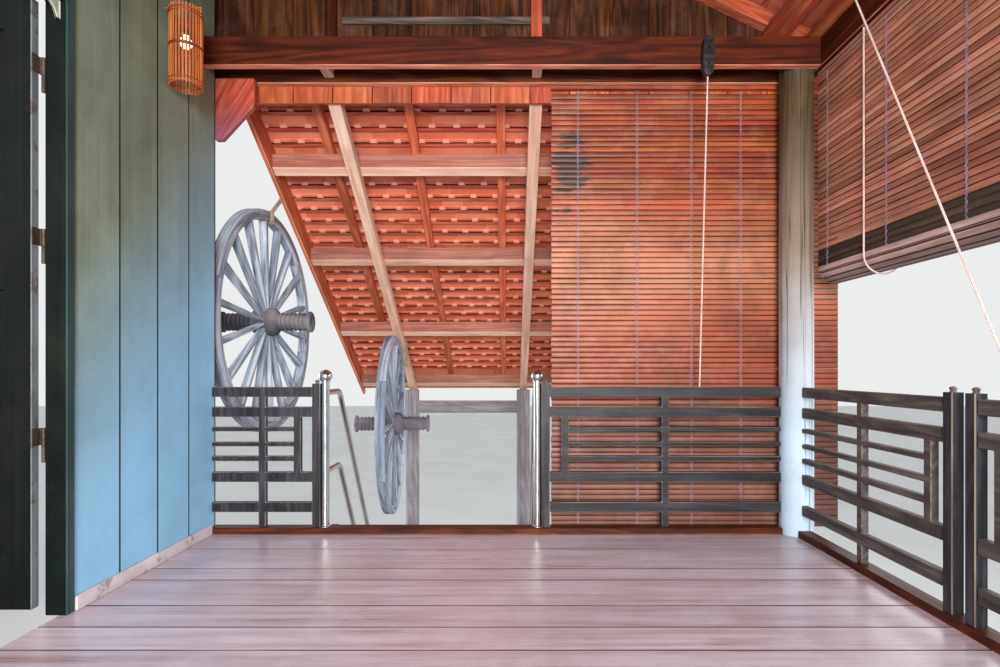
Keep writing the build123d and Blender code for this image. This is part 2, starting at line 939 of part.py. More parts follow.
def make_wheel(turn):
    """Rim in the YZ plane, and spokes that widen both ways from the hub to the rim."""
    rim = Rot(0, 90, 0) * (Cylinder(wheel_radius, rim_width) - Cylinder(rim_inner, 2 * rim_width))
    head = (rim_inner + wheel_radius) / 2
    root_face = Pos(0, 0, spoke_root) * Rectangle(spoke_root_depth, spoke_root_width)
    head_face = Pos(0, 0, head) * Rectangle(spoke_head_depth, spoke_head_width)
    spoke = loft([root_face, head_face])
    spokes = [Rot(360 * index / spoke_count + turn, 0, 0) * spoke for index in range(spoke_count)]
    return joined([rim] + spokes) - make_hub()


def rim_below_seat(y, wheel_y, wheel_z):
    """How far a rim's inner edge at y lies below the purlins' seat, square to the stair roof."""
    edge_z = wheel_z + sqrt(rim_inner ** 2 - (y - wheel_y) ** 2)
    return (stair_roof_at(y) - edge_z) / stair_roof_secant


def rim_hanger(x, y, z):
    """Rope round the top of a wheel's rim, its inner side carried over to the verge board."""
    gap = lashing_clearance
    wrap = lashing_thickness
    y0 = y - lashing_length / 2
    y1 = y + lashing_length / 2
    x0 = x - rim_width / 2 - gap
    x1 = x + rim_width / 2 + gap
    low = z + rim_inner - lashing_slack
    high = z + wheel_radius + gap
    outer = block(x0 - wrap, x1 + wrap, y0, y1, low - wrap, high + wrap)
    inner = block(x0, x1, y0, y1, low, high)
    verge = stair_roof_x0 - gap
    bend_z = stair_roof_at(y0)
    top_z = stair_roof_at(y1) + purlin_depth
    leg = along([(x1, high), (x1 + wrap, high), (verge, bend_z), (verge, top_z),
                 (verge - wrap, top_z), (verge - wrap, bend_z + wrap)], y0, y1)
    return (outer - inner) + leg


def lashing_ring(x0, x1, y, low, high):
    """Rope wound round a rim and the sloping rafter of the stair roof above it."""
    gap = lashing_clearance
    wrap = lashing_thickness
    y0 = y - lashing_length / 2
    y1 = y + lashing_length / 2
    outer = across(stair_roof_band(y0, y1, low - gap - wrap, high + gap + wrap),
                   x0 - gap - wrap, x1 + gap + wrap)
    inner = across(stair_roof_band(y0, y1, low - gap, high + gap), x0 - gap, x1 + gap)
    return outer - inner


# Lantern
lantern_x = wall_face + lantern_radius + lantern_stand_off
lantern_foot = floor_z + lantern_up
lantern_top = lantern_foot + lantern_height


def make_lantern():
    """Round shade of thin bamboo, open at both ends, on a short arm."""
    shade = upright(lantern_x, lantern_y, lantern_foot, lantern_top, lantern_radius)
    bore = upright(lantern_x, lantern_y, lantern_foot, lantern_top, lantern_radius - lantern_shell)
    half = lantern_arm / 2
    arm = block(wall_face, lantern_x + lantern_radius, lantern_y - half, lantern_y + half,
                lantern_top, lantern_top + lantern_arm)
    return joined([shade - bore, arm])


def make_bulb():
    stem_foot = lantern_top - bulb_drop
    stem = upright(lantern_x, lantern_y, stem_foot, lantern_top, lantern_arm / 2)
    bulb = Pos(lantern_x, lantern_y, stem_foot - bulb_sink) * Sphere(bulb_radius)
    return stem + bulb


os.makedirs("parts", exist_ok=True)

bearers = make_bearers()
cross_beams = make_cross_beams()
all_cross_beams = [plank for pair in cross_beams for plank in pair]
side_beam = make_side_beam()
doorway = block(wall_back - doorway_cut, wall_face + doorway_cut, door_near_edge - frame_width,
                door_far_edge + frame_width, deck_under, door_head + frame_width)

write("bearers", bearers)
write("joists", make_joists())
write("rim_boards", make_rim_boards())
write("floor_boards", [make_floor([round_post_stock(line) for line in post_lines])])
write("edge_sills", make_sills())

post_seats = bearers + all_cross_beams + [side_beam]
write("corner_post", [make_side_post(0, post_seats)])
write("side_posts", [make_side_post(line, post_seats) for line in post_lines[1:]])
write("wall_posts", make_wall_posts())

write("far_beam", cross_beams[0])
write("inner_beams", [plank for pair in cross_beams[1:] for plank in pair])
write("beam_blocks", make_beam_blocks())
write("side_beam", [side_beam])
write("side_plates", make_side_plates())

write("wall_far", [wall_panel(door_far_edge + frame_width, wall_end, floor_z)])
write("wall_over_door", [wall_panel(door_near_edge - frame_width, door_far_edge + frame_width,
                                    door_head + frame_width)])
write("wall_near", [wall_panel(near_line - half_clasp, door_near_edge - frame_width, floor_z)])
write("wall_rails", make_wall_rails(doorway))
write("wall_skirting", make_skirting())
write("wall_bracket", [make_wall_bracket()])
write("door_frame", [make_door_frame() + make_door_valance()])
write("door_leaf", [make_door_leaf()])
write("frame_hinges", make_frame_hinges())
write("leaf_hinges", make_leaf_hinges())

write("roof_ledger", [make_ledger()])
write("roof_rafters", make_rafters())
write("roof_tiles", [make_roof_tiles()])
write("ridge_cap", [make_ridge_cap()])
write("barge_boards", make_barge_boards())
write("gable_boards", [make_gable_boards(plank_out, gable_outer),
                       make_gable_boards(near_line - gable_outer, near_line - plank_out)])
write("gable_studs", make_gable_studs())

half_post = newel_post / 2
write("far_rails", [end_panel(wall_face, post_left_x - half_post, 0, False, True),
                    end_panel(post_right_x + half_post, -post_radius, 0, True, False)])
write("near_rail", [end_panel(wall_face, -post_radius, near_line, False, False)])
side_panels = []
for index in range(bay_count):
    low_y, high_y = middle_post_ys(index)
    side_panels.append(side_panel(post_lines[index + 1] + post_radius, low_y - half_post, False, True))
    side_panels.append(side_panel(high_y + half_post, post_lines[index] - post_radius, True, False))
write("side_rails", side_panels)
rail_posts = [newel_post_at(post_left_x, 0), newel_post_at(post_right_x, 0)]
for index in range(bay_count):
    for y in middle_post_ys(index):
        rail_posts.append(newel_post_at(0, y))
write("rail_posts", rail_posts)

write("stair_stringers", make_stringers())
write("stair_treads", make_treads())
write("handrails", [make_handrail(x) for x in newel_xs])

roof_tie = make_roof_tie()
write("stair_roof_posts", make_roof_posts([roof_tie]))
write("stair_roof_tie", [roof_tie])
write("principal_rafters", make_principals())
write("stair_purlins", make_purlins())
write("stair_rafters", make_common_rafters())
write("stair_roof_tiles", [make_stair_tiles()])
write("stair_roof_trim", [joined(make_verge_boards() + [make_eave_board()])])

write("far_blind", [make_far_blind()])
write("side_blinds", [make_side_blind(index) for index in range(bay_count)])
write("blind_pulley", [make_pulley()])
write("blind_ropes", [make_far_rope(), make_pull_rope()] + make_sling_ropes())

near_wheel_x = stair_roof_x0 - near_wheel_gap - rim_width / 2
near_wheel_z = floor_z + near_wheel_up
far_wheel_x = newel_xs[0]
far_wheel_z = floor_z + far_wheel_up
near_place = Pos(near_wheel_x, near_wheel_y, near_wheel_z)
far_place = Pos(far_wheel_x, far_wheel_y, far_wheel_z) * Rot(0, 0, far_wheel_yaw)
write("cart_wheel_near", [near_place * make_wheel(near_wheel_turn)])
write("cart_wheel_far", [far_place * make_wheel(far_wheel_turn)])
write("wheel_hubs", [near_place * make_hub(), far_place * make_hub()])

lashing_end_y = far_lashing_y + lashing_length / 2
rim_hold = rim_below_seat(lashing_end_y, far_wheel_y, far_wheel_z) + lashing_slack
rim_drift = (lashing_end_y - far_wheel_y) * tan(radians(far_wheel_yaw))
rim_side_x = far_wheel_x - rim_drift - rim_width / 2 / cos(radians(far_wheel_yaw))
write("wheel_lashings", [
    rim_hanger(near_wheel_x, near_wheel_y, near_wheel_z),
    lashing_ring(rim_side_x, newel_xs[0] + principal_width / 2, far_lashing_y, -rim_hold, 0)])

write("wall_lantern", [make_lantern()])
write("lantern_bulb", [make_bulb()])
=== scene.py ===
import bpy
import bmesh
import random
from math import asin, atan2, ceil, copysign, cos, hypot, pi, radians, sin, tan
import numpy as np
from mathutils import Matrix, Vector, noise


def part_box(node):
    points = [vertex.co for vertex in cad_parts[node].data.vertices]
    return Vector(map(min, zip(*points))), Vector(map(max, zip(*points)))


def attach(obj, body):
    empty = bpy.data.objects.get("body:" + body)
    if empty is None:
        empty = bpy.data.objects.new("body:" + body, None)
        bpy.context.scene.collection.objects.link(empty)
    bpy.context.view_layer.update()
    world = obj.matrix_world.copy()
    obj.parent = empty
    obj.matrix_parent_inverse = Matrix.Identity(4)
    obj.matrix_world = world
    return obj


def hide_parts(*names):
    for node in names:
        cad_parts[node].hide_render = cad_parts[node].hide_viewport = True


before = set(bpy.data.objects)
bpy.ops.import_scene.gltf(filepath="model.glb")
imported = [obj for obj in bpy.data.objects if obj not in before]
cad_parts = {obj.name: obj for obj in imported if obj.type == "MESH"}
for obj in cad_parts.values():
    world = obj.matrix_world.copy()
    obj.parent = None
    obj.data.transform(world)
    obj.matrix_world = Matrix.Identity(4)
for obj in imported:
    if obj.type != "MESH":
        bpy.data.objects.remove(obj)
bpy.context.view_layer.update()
random.seed(11)
print("frame loaded")

# places and slopes that several pieces share, in metres
deckLow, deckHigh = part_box("floor_boards")
floorTop = deckHigh.z
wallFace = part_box("wall_near")[1].x
mainPitch = radians(25)
porchPitch = radians(32.7)
rafterDepth = 0.09
xAxis, yAxis, zAxis = Vector((1, 0, 0)), Vector((0, 1, 0)), Vector((0, 0, 1))
endGrain = 0.15   # end grain runs this much of its true length
finish = {}


def srgb(*parts):
    # screen colour 0-255 to the linear value a shader wants
    parts = [part / 255 for part in parts]
    return (*(v / 12.92 if v <= 0.04045 else ((v + 0.055) / 1.055) ** 2.4 for v in parts), 1.0)


# mesh building
def newPile():
    return {part: [] for part in ("verts", "faces", "uvs", "tints", "mats", "smooth")}


def addFace(pile, corners, uvs, tint, mat, smooth):
    pile["faces"].append(corners)
    pile["uvs"].extend(uvs)
    pile["tints"].append(tint)
    pile["mats"].append(mat)
    pile["smooth"].append(smooth)


def loft(pile, rings, tint=None, smooth=False, mats=(0,), capMat=0, loop=False):
    # skin a row of equal rings; u runs along the rings in metres, v round them
    tint = random.random() if tint is None else tint
    start, count = len(pile["verts"]), len(rings[0])
    middles = [sum(ring, Vector()) / count for ring in rings]
    girth, along = [0.0], [0.0]
    for a, b in zip(rings[0], rings[0][1:] + rings[0][:1]):
        girth.append(girth[-1] + (b - a).length)
    for a, b in zip(middles, middles[1:] + middles[:1]):
        along.append(along[-1] + (b - a).length)
    for ring in rings:
        pile["verts"].extend(ring)
    for i in range(len(rings) if loop else len(rings) - 1):
        low = start + i * count
        high = start + ((i + 1) % len(rings)) * count
        for k in range(count):
            m = (k + 1) % count
            uvs = [(along[i], girth[k]), (along[i], girth[k + 1]),
                   (along[i + 1], girth[k + 1]), (along[i + 1], girth[k])]
            addFace(pile, (low + k, low + m, high + m, high + k), uvs, tint, mats[k % len(mats)], smooth)
    for index in () if loop else (0, len(rings) - 1):
        ring, middle = rings[index], middles[index]
        east = (ring[0] - middle).normalized()
        north = ring[count // 4] - middle
        north = (north - east * north.dot(east)).normalized()
        uvs = [((p - middle).dot(east) * endGrain, (p - middle).dot(north)) for p in ring]
        addFace(pile, tuple(start + index * count + k for k in range(count)), uvs, tint, capMat, False)


def ringAt(middle, east, north, outline):
    return [middle + east * a + north * b for a, b in outline]


def roundRing(middle, east, north, radius, sides, wobble=None):
    angles = [2 * pi * k / sides for k in range(sides)]
    reaches = [radius + wobble(angle) if wobble else radius for angle in angles]
    return ringAt(middle, east, north, [(cos(a) * r, sin(a) * r) for a, r in zip(angles, reaches)])


def easedOutline(width, height, edge):
    # a rectangle with cut corners, about its middle
    w, h = width / 2, height / 2
    return [(-w + edge, -h), (w - edge, -h), (w, -h + edge), (w, h - edge),
            (w - edge, h), (-w + edge, h), (-w, h - edge), (-w, -h + edge)]


def board(pile, start, end, width, thick, up=zAxis, edge=0.003, mats=(0, 1)):
    # a sawn board with eased edges
    start, end = Vector(start), Vector(end)
    run = (end - start).normalized()
    side = run.cross(Vector(up)).normalized()
    outline = easedOutline(width, thick, edge)
    loft(pile, [ringAt(middle, side, side.cross(run), outline) for middle in (start, end)], mats=mats)


def slab(pile, outline, origin, east, north, out, thick, tint, topMat=0):
    # a flat plate: a 2D outline in the east/north plane, thick along out
    start, count = len(pile["verts"]), len(outline)
    for height in (0, thick):
        pile["verts"].extend(ringAt(origin + out * height, east, north, outline))
    flat = [(b, a) for a, b in outline]
    addFace(pile, tuple(range(start, start + count)), flat, tint, 0, False)
    addFace(pile, tuple(range(start + count, start + 2 * count)), flat, tint, topMat, False)
    for k in range(count):
        m = (k + 1) % count
        uvs = [flat[k], flat[m], flat[m], flat[k]]
        addFace(pile, (start + k, start + m, start + count + m, start + count + k), uvs, tint, 0, False)


def pathFrames(points):
    # a frame at each point, carried along without twist
    frames, normal = [], None
    for i, p in enumerate(points):
        run = (points[min(i + 1, len(points) - 1)] - points[max(i - 1, 0)]).normalized()
        if normal is None:
            normal = run.orthogonal().normalized()
        normal = (normal - run * normal.dot(run)).normalized()
        frames.append((p, normal, run.cross(normal)))
    return frames


def tube(pile, points, radius, sides):
    loft(pile, [roundRing(p, n, b, radius, sides) for p, n, b in pathFrames(points)], smooth=True)


def resample(points, step):
    points = [Vector(p) for p in points]
    out = [points[0]]
    for a, b in zip(points, points[1:]):
        parts = max(1, round((b - a).length / step))
        out += [a.lerp(b, (i + 1) / parts) for i in range(parts)]
    return out


def rope(pile, points, radius, strands=3, lay=0.035, step=0.006, sides=6):
    # laid cord: strands that wind round the line of the points, one turn each lay
    path = pathFrames(resample(points, step))
    turns = [0.0]
    for (p, *_), (q, *_) in zip(path, path[1:]):
        turns.append(turns[-1] + (q - p).length / lay * 2 * pi)
    for strand in range(strands):
        rings = []
        for (p, n, b), turn in zip(path, turns):
            angle = turn + 2 * pi * strand / strands
            middle = p + (n * cos(angle) + b * sin(angle)) * radius * 0.5
            rings.append(roundRing(middle, n, b, radius * 0.52, sides))
        loft(pile, rings, smooth=True)


def ball(pile, middle, radius, rows=16, sides=28):
    rings = []
    for i in range(rows + 1):
        angle = pi * (i + 0.02) / (rows + 0.04)
        centre = Vector(middle) - zAxis * cos(angle) * radius
        rings.append(roundRing(centre, xAxis, yAxis, max(sin(angle) * radius, 0.0004), sides))
    loft(pile, rings, smooth=True)


def turned(pile, profile, middle, run, sides=40, tint=None, mats=(0,)):
    # a turned piece: (distance along run, radius) pairs
    middle, run = Vector(middle), Vector(run).normalized()
    east = run.orthogonal().normalized()
    rings = [roundRing(middle + run * s, east, run.cross(east), r, sides) for s, r in profile]
    loft(pile, rings, tint, smooth=True, mats=mats)


def addObject(name, data):
    holder = bpy.data.objects.new(name, data)
    bpy.context.scene.collection.objects.link(holder)
    return holder


def placePiece(name, mesh, finishes, nodes, body):
    # mesh to object: it rides on its body and stands for its nodes
    for each in finishes:
        mesh.materials.append(finish[each])
    piece = addObject(name, mesh)
    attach(piece, body)
    if nodes:
        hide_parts(*nodes)
    return piece


def makePiece(pile, name, finishes, slot, *nodes):
    # pile to piece, with uv "grain" and face attribute "tint" for the finishes
    mesh = bpy.data.meshes.new(name)
    mesh.from_pydata([tuple(v) for v in pile["verts"]], [], pile["faces"])
    mesh.uv_layers.new(name="grain").data.foreach_set("uv", np.ravel(pile["uvs"]))
    mesh.attributes.new("tint", "FLOAT", "FACE").data.foreach_set("value", pile["tints"])
    mesh.polygons.foreach_set("material_index", pile["mats"])
    mesh.polygons.foreach_set("use_smooth", pile["smooth"])
    bm = bmesh.new()
    bm.from_mesh(mesh)
    bmesh.ops.recalc_face_normals(bm, faces=bm.faces)
    bm.to_mesh(mesh)
    bm.free()
    mesh.set_sharp_from_angle(angle=radians(38))
    return placePiece(name, mesh, finishes, nodes, "veranda")


def solidsOf(node):
    # a node's mesh with its corners joined
    bm = bmesh.new()
    bm.from_mesh(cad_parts[node].data)
    bmesh.ops.remove_doubles(bm, verts=bm.verts, dist=1e-5)
    return bm


def islandsOf(bm):
    # faces and corners of each separate solid, in the mesh's own order
    seen, groups = set(), []
    for seed in bm.faces:
        if seed in seen:
            continue
        seen.add(seed)
        group = [seed]
        for face in group:
            for near in (near for vert in face.verts for near in vert.link_faces):
                if near not in seen:
                    seen.add(near)
                    group.append(near)
        corners = [v.co.copy() for v in dict.fromkeys(v for face in group for v in face.verts)]
        groups.append((group, corners))
    return groups


def dress(node, name, finishes, slot, edge=0.004, body="veranda"):
    # the frame's own solids with eased edges, a grain direction each and their own tint
    bm = solidsOf(node)
    bmesh.ops.dissolve_limit(bm, angle_limit=0.02, verts=bm.verts, edges=bm.edges)
    sharp = [e for e in bm.edges if len(e.link_faces) == 2 and e.calc_face_angle(0) > 0.4]
    bmesh.ops.bevel(bm, geom=sharp, offset=edge, offset_type="OFFSET", segments=1, profile=0.5,
                    affect="EDGES", clamp_overlap=True, material=1)
    layer = bm.loops.layers.uv.new("grain")
    tints = bm.faces.layers.float.new("tint")
    for group, corners in islandsOf(bm):
        along = Vector(np.linalg.eigh(np.cov(np.array(corners).T))[1][:, 2])
        tint, shift = random.random(), random.random() * 3
        for face in group:
            face[tints] = tint
            if abs(face.normal.dot(along)) > 0.75:
                east = face.normal.orthogonal().normalized()
                north, shrink = face.normal.cross(east), endGrain
            else:
                north, shrink = face.normal.cross(along).normalized(), 1
                east = north.cross(face.normal)
            for loop in face.loops:
                loop[layer].uv = (loop.vert.co.dot(east) * shrink, loop.vert.co.dot(north) + shift)
    mesh = bpy.data.meshes.new(name)
    bm.to_mesh(mesh)
    bm.free()
    return placePiece(name, mesh, finishes, (node,), body)


def paintFaces(piece, chooser):
    # pick the material of each face from its normal, its centre and the one that it has
    for face in piece.data.polygons:
        face.material_index = chooser(face.normal, face.center, face.material_index)


# material building
def wire(tree, kind, inputs=None, **settings):
    # one shader node; inputs maps a socket to a value or to another node's output
    node = tree.nodes.new(kind)
    for key, value in settings.items():
        setattr(node, key, value)
    for key, value in (inputs or {}).items():
        if isinstance(value, bpy.types.NodeSocket):
            tree.links.new(value, node.inputs[key])
        else:
            node.inputs[key].default_value = value
    return node


def startMaterial(name):
    # a bare shader, and the place on the object
    material = bpy.data.materials.new(name)
    material.use_nodes = True
    tree = material.node_tree
    tree.nodes.clear()
    shader = wire(tree, "ShaderNodeBsdfPrincipled")
    wire(tree, "ShaderNodeOutputMaterial", {"Surface": shader.outputs["BSDF"]}).location = (300, 0)
    finish[name] = material
    return tree, shader, wire(tree, "ShaderNodeTexCoord").outputs["Object"]


def tintOf(tree):
    # the tint that each board, tile or strand has drawn
    return wire(tree, "ShaderNodeAttribute", attribute_name="tint").outputs["Fac"]


def endMaterial(tree, shader, colour, rough, strength, distance, height):
    tree.links.new(colour, shader.inputs["Base Color"])
    tree.links.new(rough, shader.inputs["Roughness"])
    bump = wire(tree, "ShaderNodeBump", {"Strength": strength, "Distance": distance, "Height": height})
    tree.links.new(bump.outputs[0], shader.inputs["Normal"])


def ramp(tree, factor, places, tones):
    node = wire(tree, "ShaderNodeValToRGB", {"Fac": factor})
    elements = node.color_ramp.elements
    elements.remove(elements[-1])
    elements[0].position, elements[0].color = places[0], srgb(*tones[0])
    for place, tone in zip(places[1:], tones[1:]):
        elements.new(place).color = srgb(*tone)
    return node.outputs["Color"]


def mathNode(tree, operation, a, b=0.0, c=0.0):
    return wire(tree, "ShaderNodeMath", {0: a, 1: b, 2: c}, operation=operation).outputs[0]


def vectorNode(tree, operation, *sockets):
    return wire(tree, "ShaderNodeVectorMath", dict(enumerate(sockets)), operation=operation).outputs


def mixColour(tree, factor, a, b):
    return wire(tree, "ShaderNodeMix", {0: factor, 6: a, 7: b}, data_type="RGBA").outputs[2]


def spread(tree, factor, low, high, fromLow=0.0, fromHigh=1.0):
    return wire(tree, "ShaderNodeMapRange", {0: factor, 1: fromLow, 2: fromHigh, 3: low, 4: high}).outputs[0]


def noiseAt(tree, vector, scale=1.0, detail=4.0, rough=0.5, distort=0.0):
    return wire(tree, "ShaderNodeTexNoise", {"Vector": vector, "Scale": scale, "Detail": detail,
                                             "Roughness": rough, "Distortion": distort}).outputs[0]


def grainNoise(tree, tint, run, detail, rough, distort=0.0, jump=53.0):
    # noise on the uv, so many to the metre along the grain and across it, shifted for each board
    uv = wire(tree, "ShaderNodeUVMap", uv_map="grain").outputs[0]
    shift = wire(tree, "ShaderNodeCombineXYZ", {"Z": mathNode(tree, "MULTIPLY", tint, jump)}).outputs[0]
    grain = vectorNode(tree, "MULTIPLY_ADD", uv, (*run, 1.0), shift)[0]
    return noiseAt(tree, grain, 1.0, detail, rough, distort)


def boardShade(tree, tint, colour, amount, hue=0.5):
    shade = spread(tree, tint, 1 - amount, 1 + amount)
    return wire(tree, "ShaderNodeHueSaturation", {"Hue": hue, "Value": shade, "Color": colour}).outputs[0]


def heightFade(tree, place, colour, look):
    # drift to other tones between pairs of heights over the floor
    if "fades" not in look:
        return colour
    y, z = wire(tree, "ShaderNodeSeparateXYZ", {0: place}).outputs[1:]
    z = mathNode(tree, "MULTIPLY_ADD", noiseAt(tree, place, 1.3, 3.0), 0.5, z)
    if "tilt" in look:
        # the fade climbs towards the stair end
        z = mathNode(tree, "MULTIPLY_ADD", mathNode(tree, "MAXIMUM", y, -1.5), -look["tilt"], z)
    for high, low, amount, tone in look["fades"]:
        share = spread(tree, z, 0.0, amount, floorTop + high + 0.25, floorTop + low + 0.25)
        colour = mixColour(tree, share, colour, srgb(*tone))
    return colour


def woodMaterial(name, look):
    # streaks, growth rings and pores along the grain, then grime, dust, stains and cracks
    tree, shader, place = startMaterial(name)
    tint = tintOf(tree)
    streak = grainNoise(tree, tint, (1.1, 24.0), 7.0, 0.6, 0.35)
    figure = grainNoise(tree, tint, (0.45, 4.5), 2.0, 0.5, 0.8, 31.0)
    figure = mathNode(tree, "SINE", mathNode(tree, "MULTIPLY", figure, 70.0))
    figure = spread(tree, figure, 0.0, 1.0, -1.0, 1.0)
    pores = grainNoise(tree, tint, (7.0, 230.0), 3.0, 0.6)
    body = mathNode(tree, "MULTIPLY_ADD", figure, look.get("figure", 0.16),
                    mathNode(tree, "MULTIPLY", streak, 0.62))
    body = mathNode(tree, "MULTIPLY_ADD", pores, 0.26, body)
    colour = ramp(tree, body, (0.28, 0.44, 0.58, 0.74), look["tones"])
    hue = spread(tree, mathNode(tree, "FRACT", mathNode(tree, "MULTIPLY", tint, 7.3)), 0.492, 0.508)
    colour = boardShade(tree, tint, colour, look["spread"], hue)
    colour = heightFade(tree, place, colour, look)
    grime = noiseAt(tree, place, look.get("grimeSize", 2.6), 6.0, 0.62, 0.3)
    grime = spread(tree, grime, 0.0, look["grime"], 0.46, 0.72)
    colour = mixColour(tree, grime, colour, srgb(*look.get("grimeTone", (38, 28, 22))))
    if "dust" in look:
        bloom = spread(tree, noiseAt(tree, place, 5.5, 8.0, 0.7), 0.0, look["dust"], 0.5, 0.78)
        colour = mixColour(tree, bloom, colour, srgb(*look["dustTone"]))
    if "blot" in look:
        # a black stain, flecked along the slats
        amount, (x, z), reach = look["blot"]
        away = vectorNode(tree, "MULTIPLY_ADD", place, (2.4, 0.0, 1.0), (-2.4 * x, 0.0, -z))[0]
        away = vectorNode(tree, "LENGTH", away)["Value"]
        flecks = vectorNode(tree, "MULTIPLY", place, (5.0, 5.0, 26.0))[0]
        stain = mathNode(tree, "MULTIPLY_ADD", away, -0.35 / reach, noiseAt(tree, flecks, 1.0, 5.0, 0.7))
        colour = mixColour(tree, spread(tree, stain, 0.0, amount, 0.28, 0.38), colour, srgb(52, 40, 36))
    height = mathNode(tree, "MULTIPLY_ADD", pores, 0.5, body)
    if "cracks" in look:
        lines = grainNoise(tree, tint, (look["crackRun"], 16.0), 3.0, 0.5, 0.2, 19.0)
        lines = mathNode(tree, "ABSOLUTE", mathNode(tree, "SUBTRACT", lines, 0.5))
        lines = spread(tree, lines, look["cracks"], 0.0, 0.0, 0.012)
        colour = mixColour(tree, lines, colour, srgb(22, 17, 14))
        height = mathNode(tree, "MULTIPLY_ADD", lines, -2.0, height)
    rough = spread(tree, streak, *look["rough"], 0.3, 0.7)
    endMaterial(tree, shader, colour, rough, look["bump"], 0.0016, height)
    shader.inputs["Specular IOR Level"].default_value = look.get("shine", 0.5)
    if "coat" in look:
        shader.inputs["Coat Weight"].default_value = look["coat"]
        shader.inputs["Coat Roughness"].default_value = 0.22


def paintMaterial(name, look):
    # brushed paint over boards: faint grain, scuffs that show the wood, grime
    tree, shader, place = startMaterial(name)
    tint = tintOf(tree)
    brush = grainNoise(tree, tint, (0.9, 34.0), 5.0, 0.6)
    cloud = noiseAt(tree, place, 1.7, 6.0, 0.6, 0.4)
    tone = mathNode(tree, "MULTIPLY_ADD", brush, 0.4, mathNode(tree, "MULTIPLY", cloud, 0.6))
    colour = ramp(tree, tone, (0.33, 0.5, 0.68), look["tones"])
    colour = boardShade(tree, tint, colour, look["spread"])
    colour = heightFade(tree, place, colour, look)
    scuff = noiseAt(tree, place, 8.5, 9.0, 0.72, 0.2)
    scuff = spread(tree, scuff, 0.0, 1.0, look["scuffFrom"], look["scuffFrom"] + 0.05)
    colour = mixColour(tree, mathNode(tree, "MULTIPLY", scuff, look["scuff"]), colour, srgb(*look["under"]))
    grime = spread(tree, noiseAt(tree, place, 3.1, 7.0, 0.65), 0.0, look["grime"], 0.45, 0.75)
    colour = mixColour(tree, grime, colour, srgb(46, 44, 36))
    rough = spread(tree, brush, *look["rough"], 0.3, 0.7)
    endMaterial(tree, shader, colour, rough, 0.3, 0.001, mathNode(tree, "SUBTRACT", brush, scuff))
    shader.inputs["Specular IOR Level"].default_value = look.get("shine", 0.5)


def metalMaterial(name, look):
    tree, shader, place = startMaterial(name)
    fine = noiseAt(tree, place, 90.0, 5.0, 0.6)
    broad = noiseAt(tree, place, 6.0, 5.0, 0.6)
    tone = mathNode(tree, "MULTIPLY_ADD", broad, 0.6, mathNode(tree, "MULTIPLY", fine, 0.4))
    colour = ramp(tree, tone, (0.35, 0.65), look["tones"])
    rough = spread(tree, broad, *look["rough"], 0.3, 0.7)
    endMaterial(tree, shader, colour, rough, look["bump"], 0.0006, fine)
    shader.inputs["Metallic"].default_value = look["metal"]


def clayMaterial(name, look):
    # fired clay: each tile its own firing, lichen and soot in patches
    tree, shader, place = startMaterial(name)
    tint = tintOf(tree)
    grit = noiseAt(tree, place, 70.0, 8.0, 0.7)
    cloud = noiseAt(tree, place, 2.2, 6.0, 0.6)
    firing = mathNode(tree, "MULTIPLY_ADD", tint, 0.45, mathNode(tree, "MULTIPLY", cloud, 0.4))
    firing = mathNode(tree, "MULTIPLY_ADD", grit, 0.25, firing)
    colour = ramp(tree, firing, (0.2, 0.42, 0.64, 0.86), look["tones"])
    soot = spread(tree, noiseAt(tree, place, 4.5, 8.0, 0.7), 0.0, look["soot"], 0.52, 0.75)
    colour = mixColour(tree, soot, colour, srgb(*look["sootTone"]))
    endMaterial(tree, shader, colour, spread(tree, grit, 0.72, 0.92, 0.3, 0.7), 0.45, 0.0012, grit)


def fibreMaterial(name, look):
    tree, shader, place = startMaterial(name)
    tint = tintOf(tree)
    hair = grainNoise(tree, tint, (60.0, 900.0), 4.0, 0.6)
    soil = noiseAt(tree, place, 9.0, 5.0, 0.6)
    tone = mathNode(tree, "MULTIPLY_ADD", hair, 0.55, mathNode(tree, "MULTIPLY", soil, 0.45))
    colour = ramp(tree, tone, (0.36, 0.52, 0.66), look["tones"])
    endMaterial(tree, shader, colour, spread(tree, hair, 0.8, 0.9, 0.3, 0.7), 0.6, 0.0006, hair)


def glassMaterial(name, look):
    tree, shader, place = startMaterial(name)
    haze = noiseAt(tree, place, 30.0, 4.0)
    tree.links.new(ramp(tree, haze, (0.3, 0.7), look["tones"]), shader.inputs["Base Color"])
    tree.links.new(spread(tree, haze, 0.25, 0.4), shader.inputs["Roughness"])
    shader.inputs["Emission Color"].default_value = srgb(*look["glow"])
    shader.inputs["Emission Strength"].default_value = 2.5


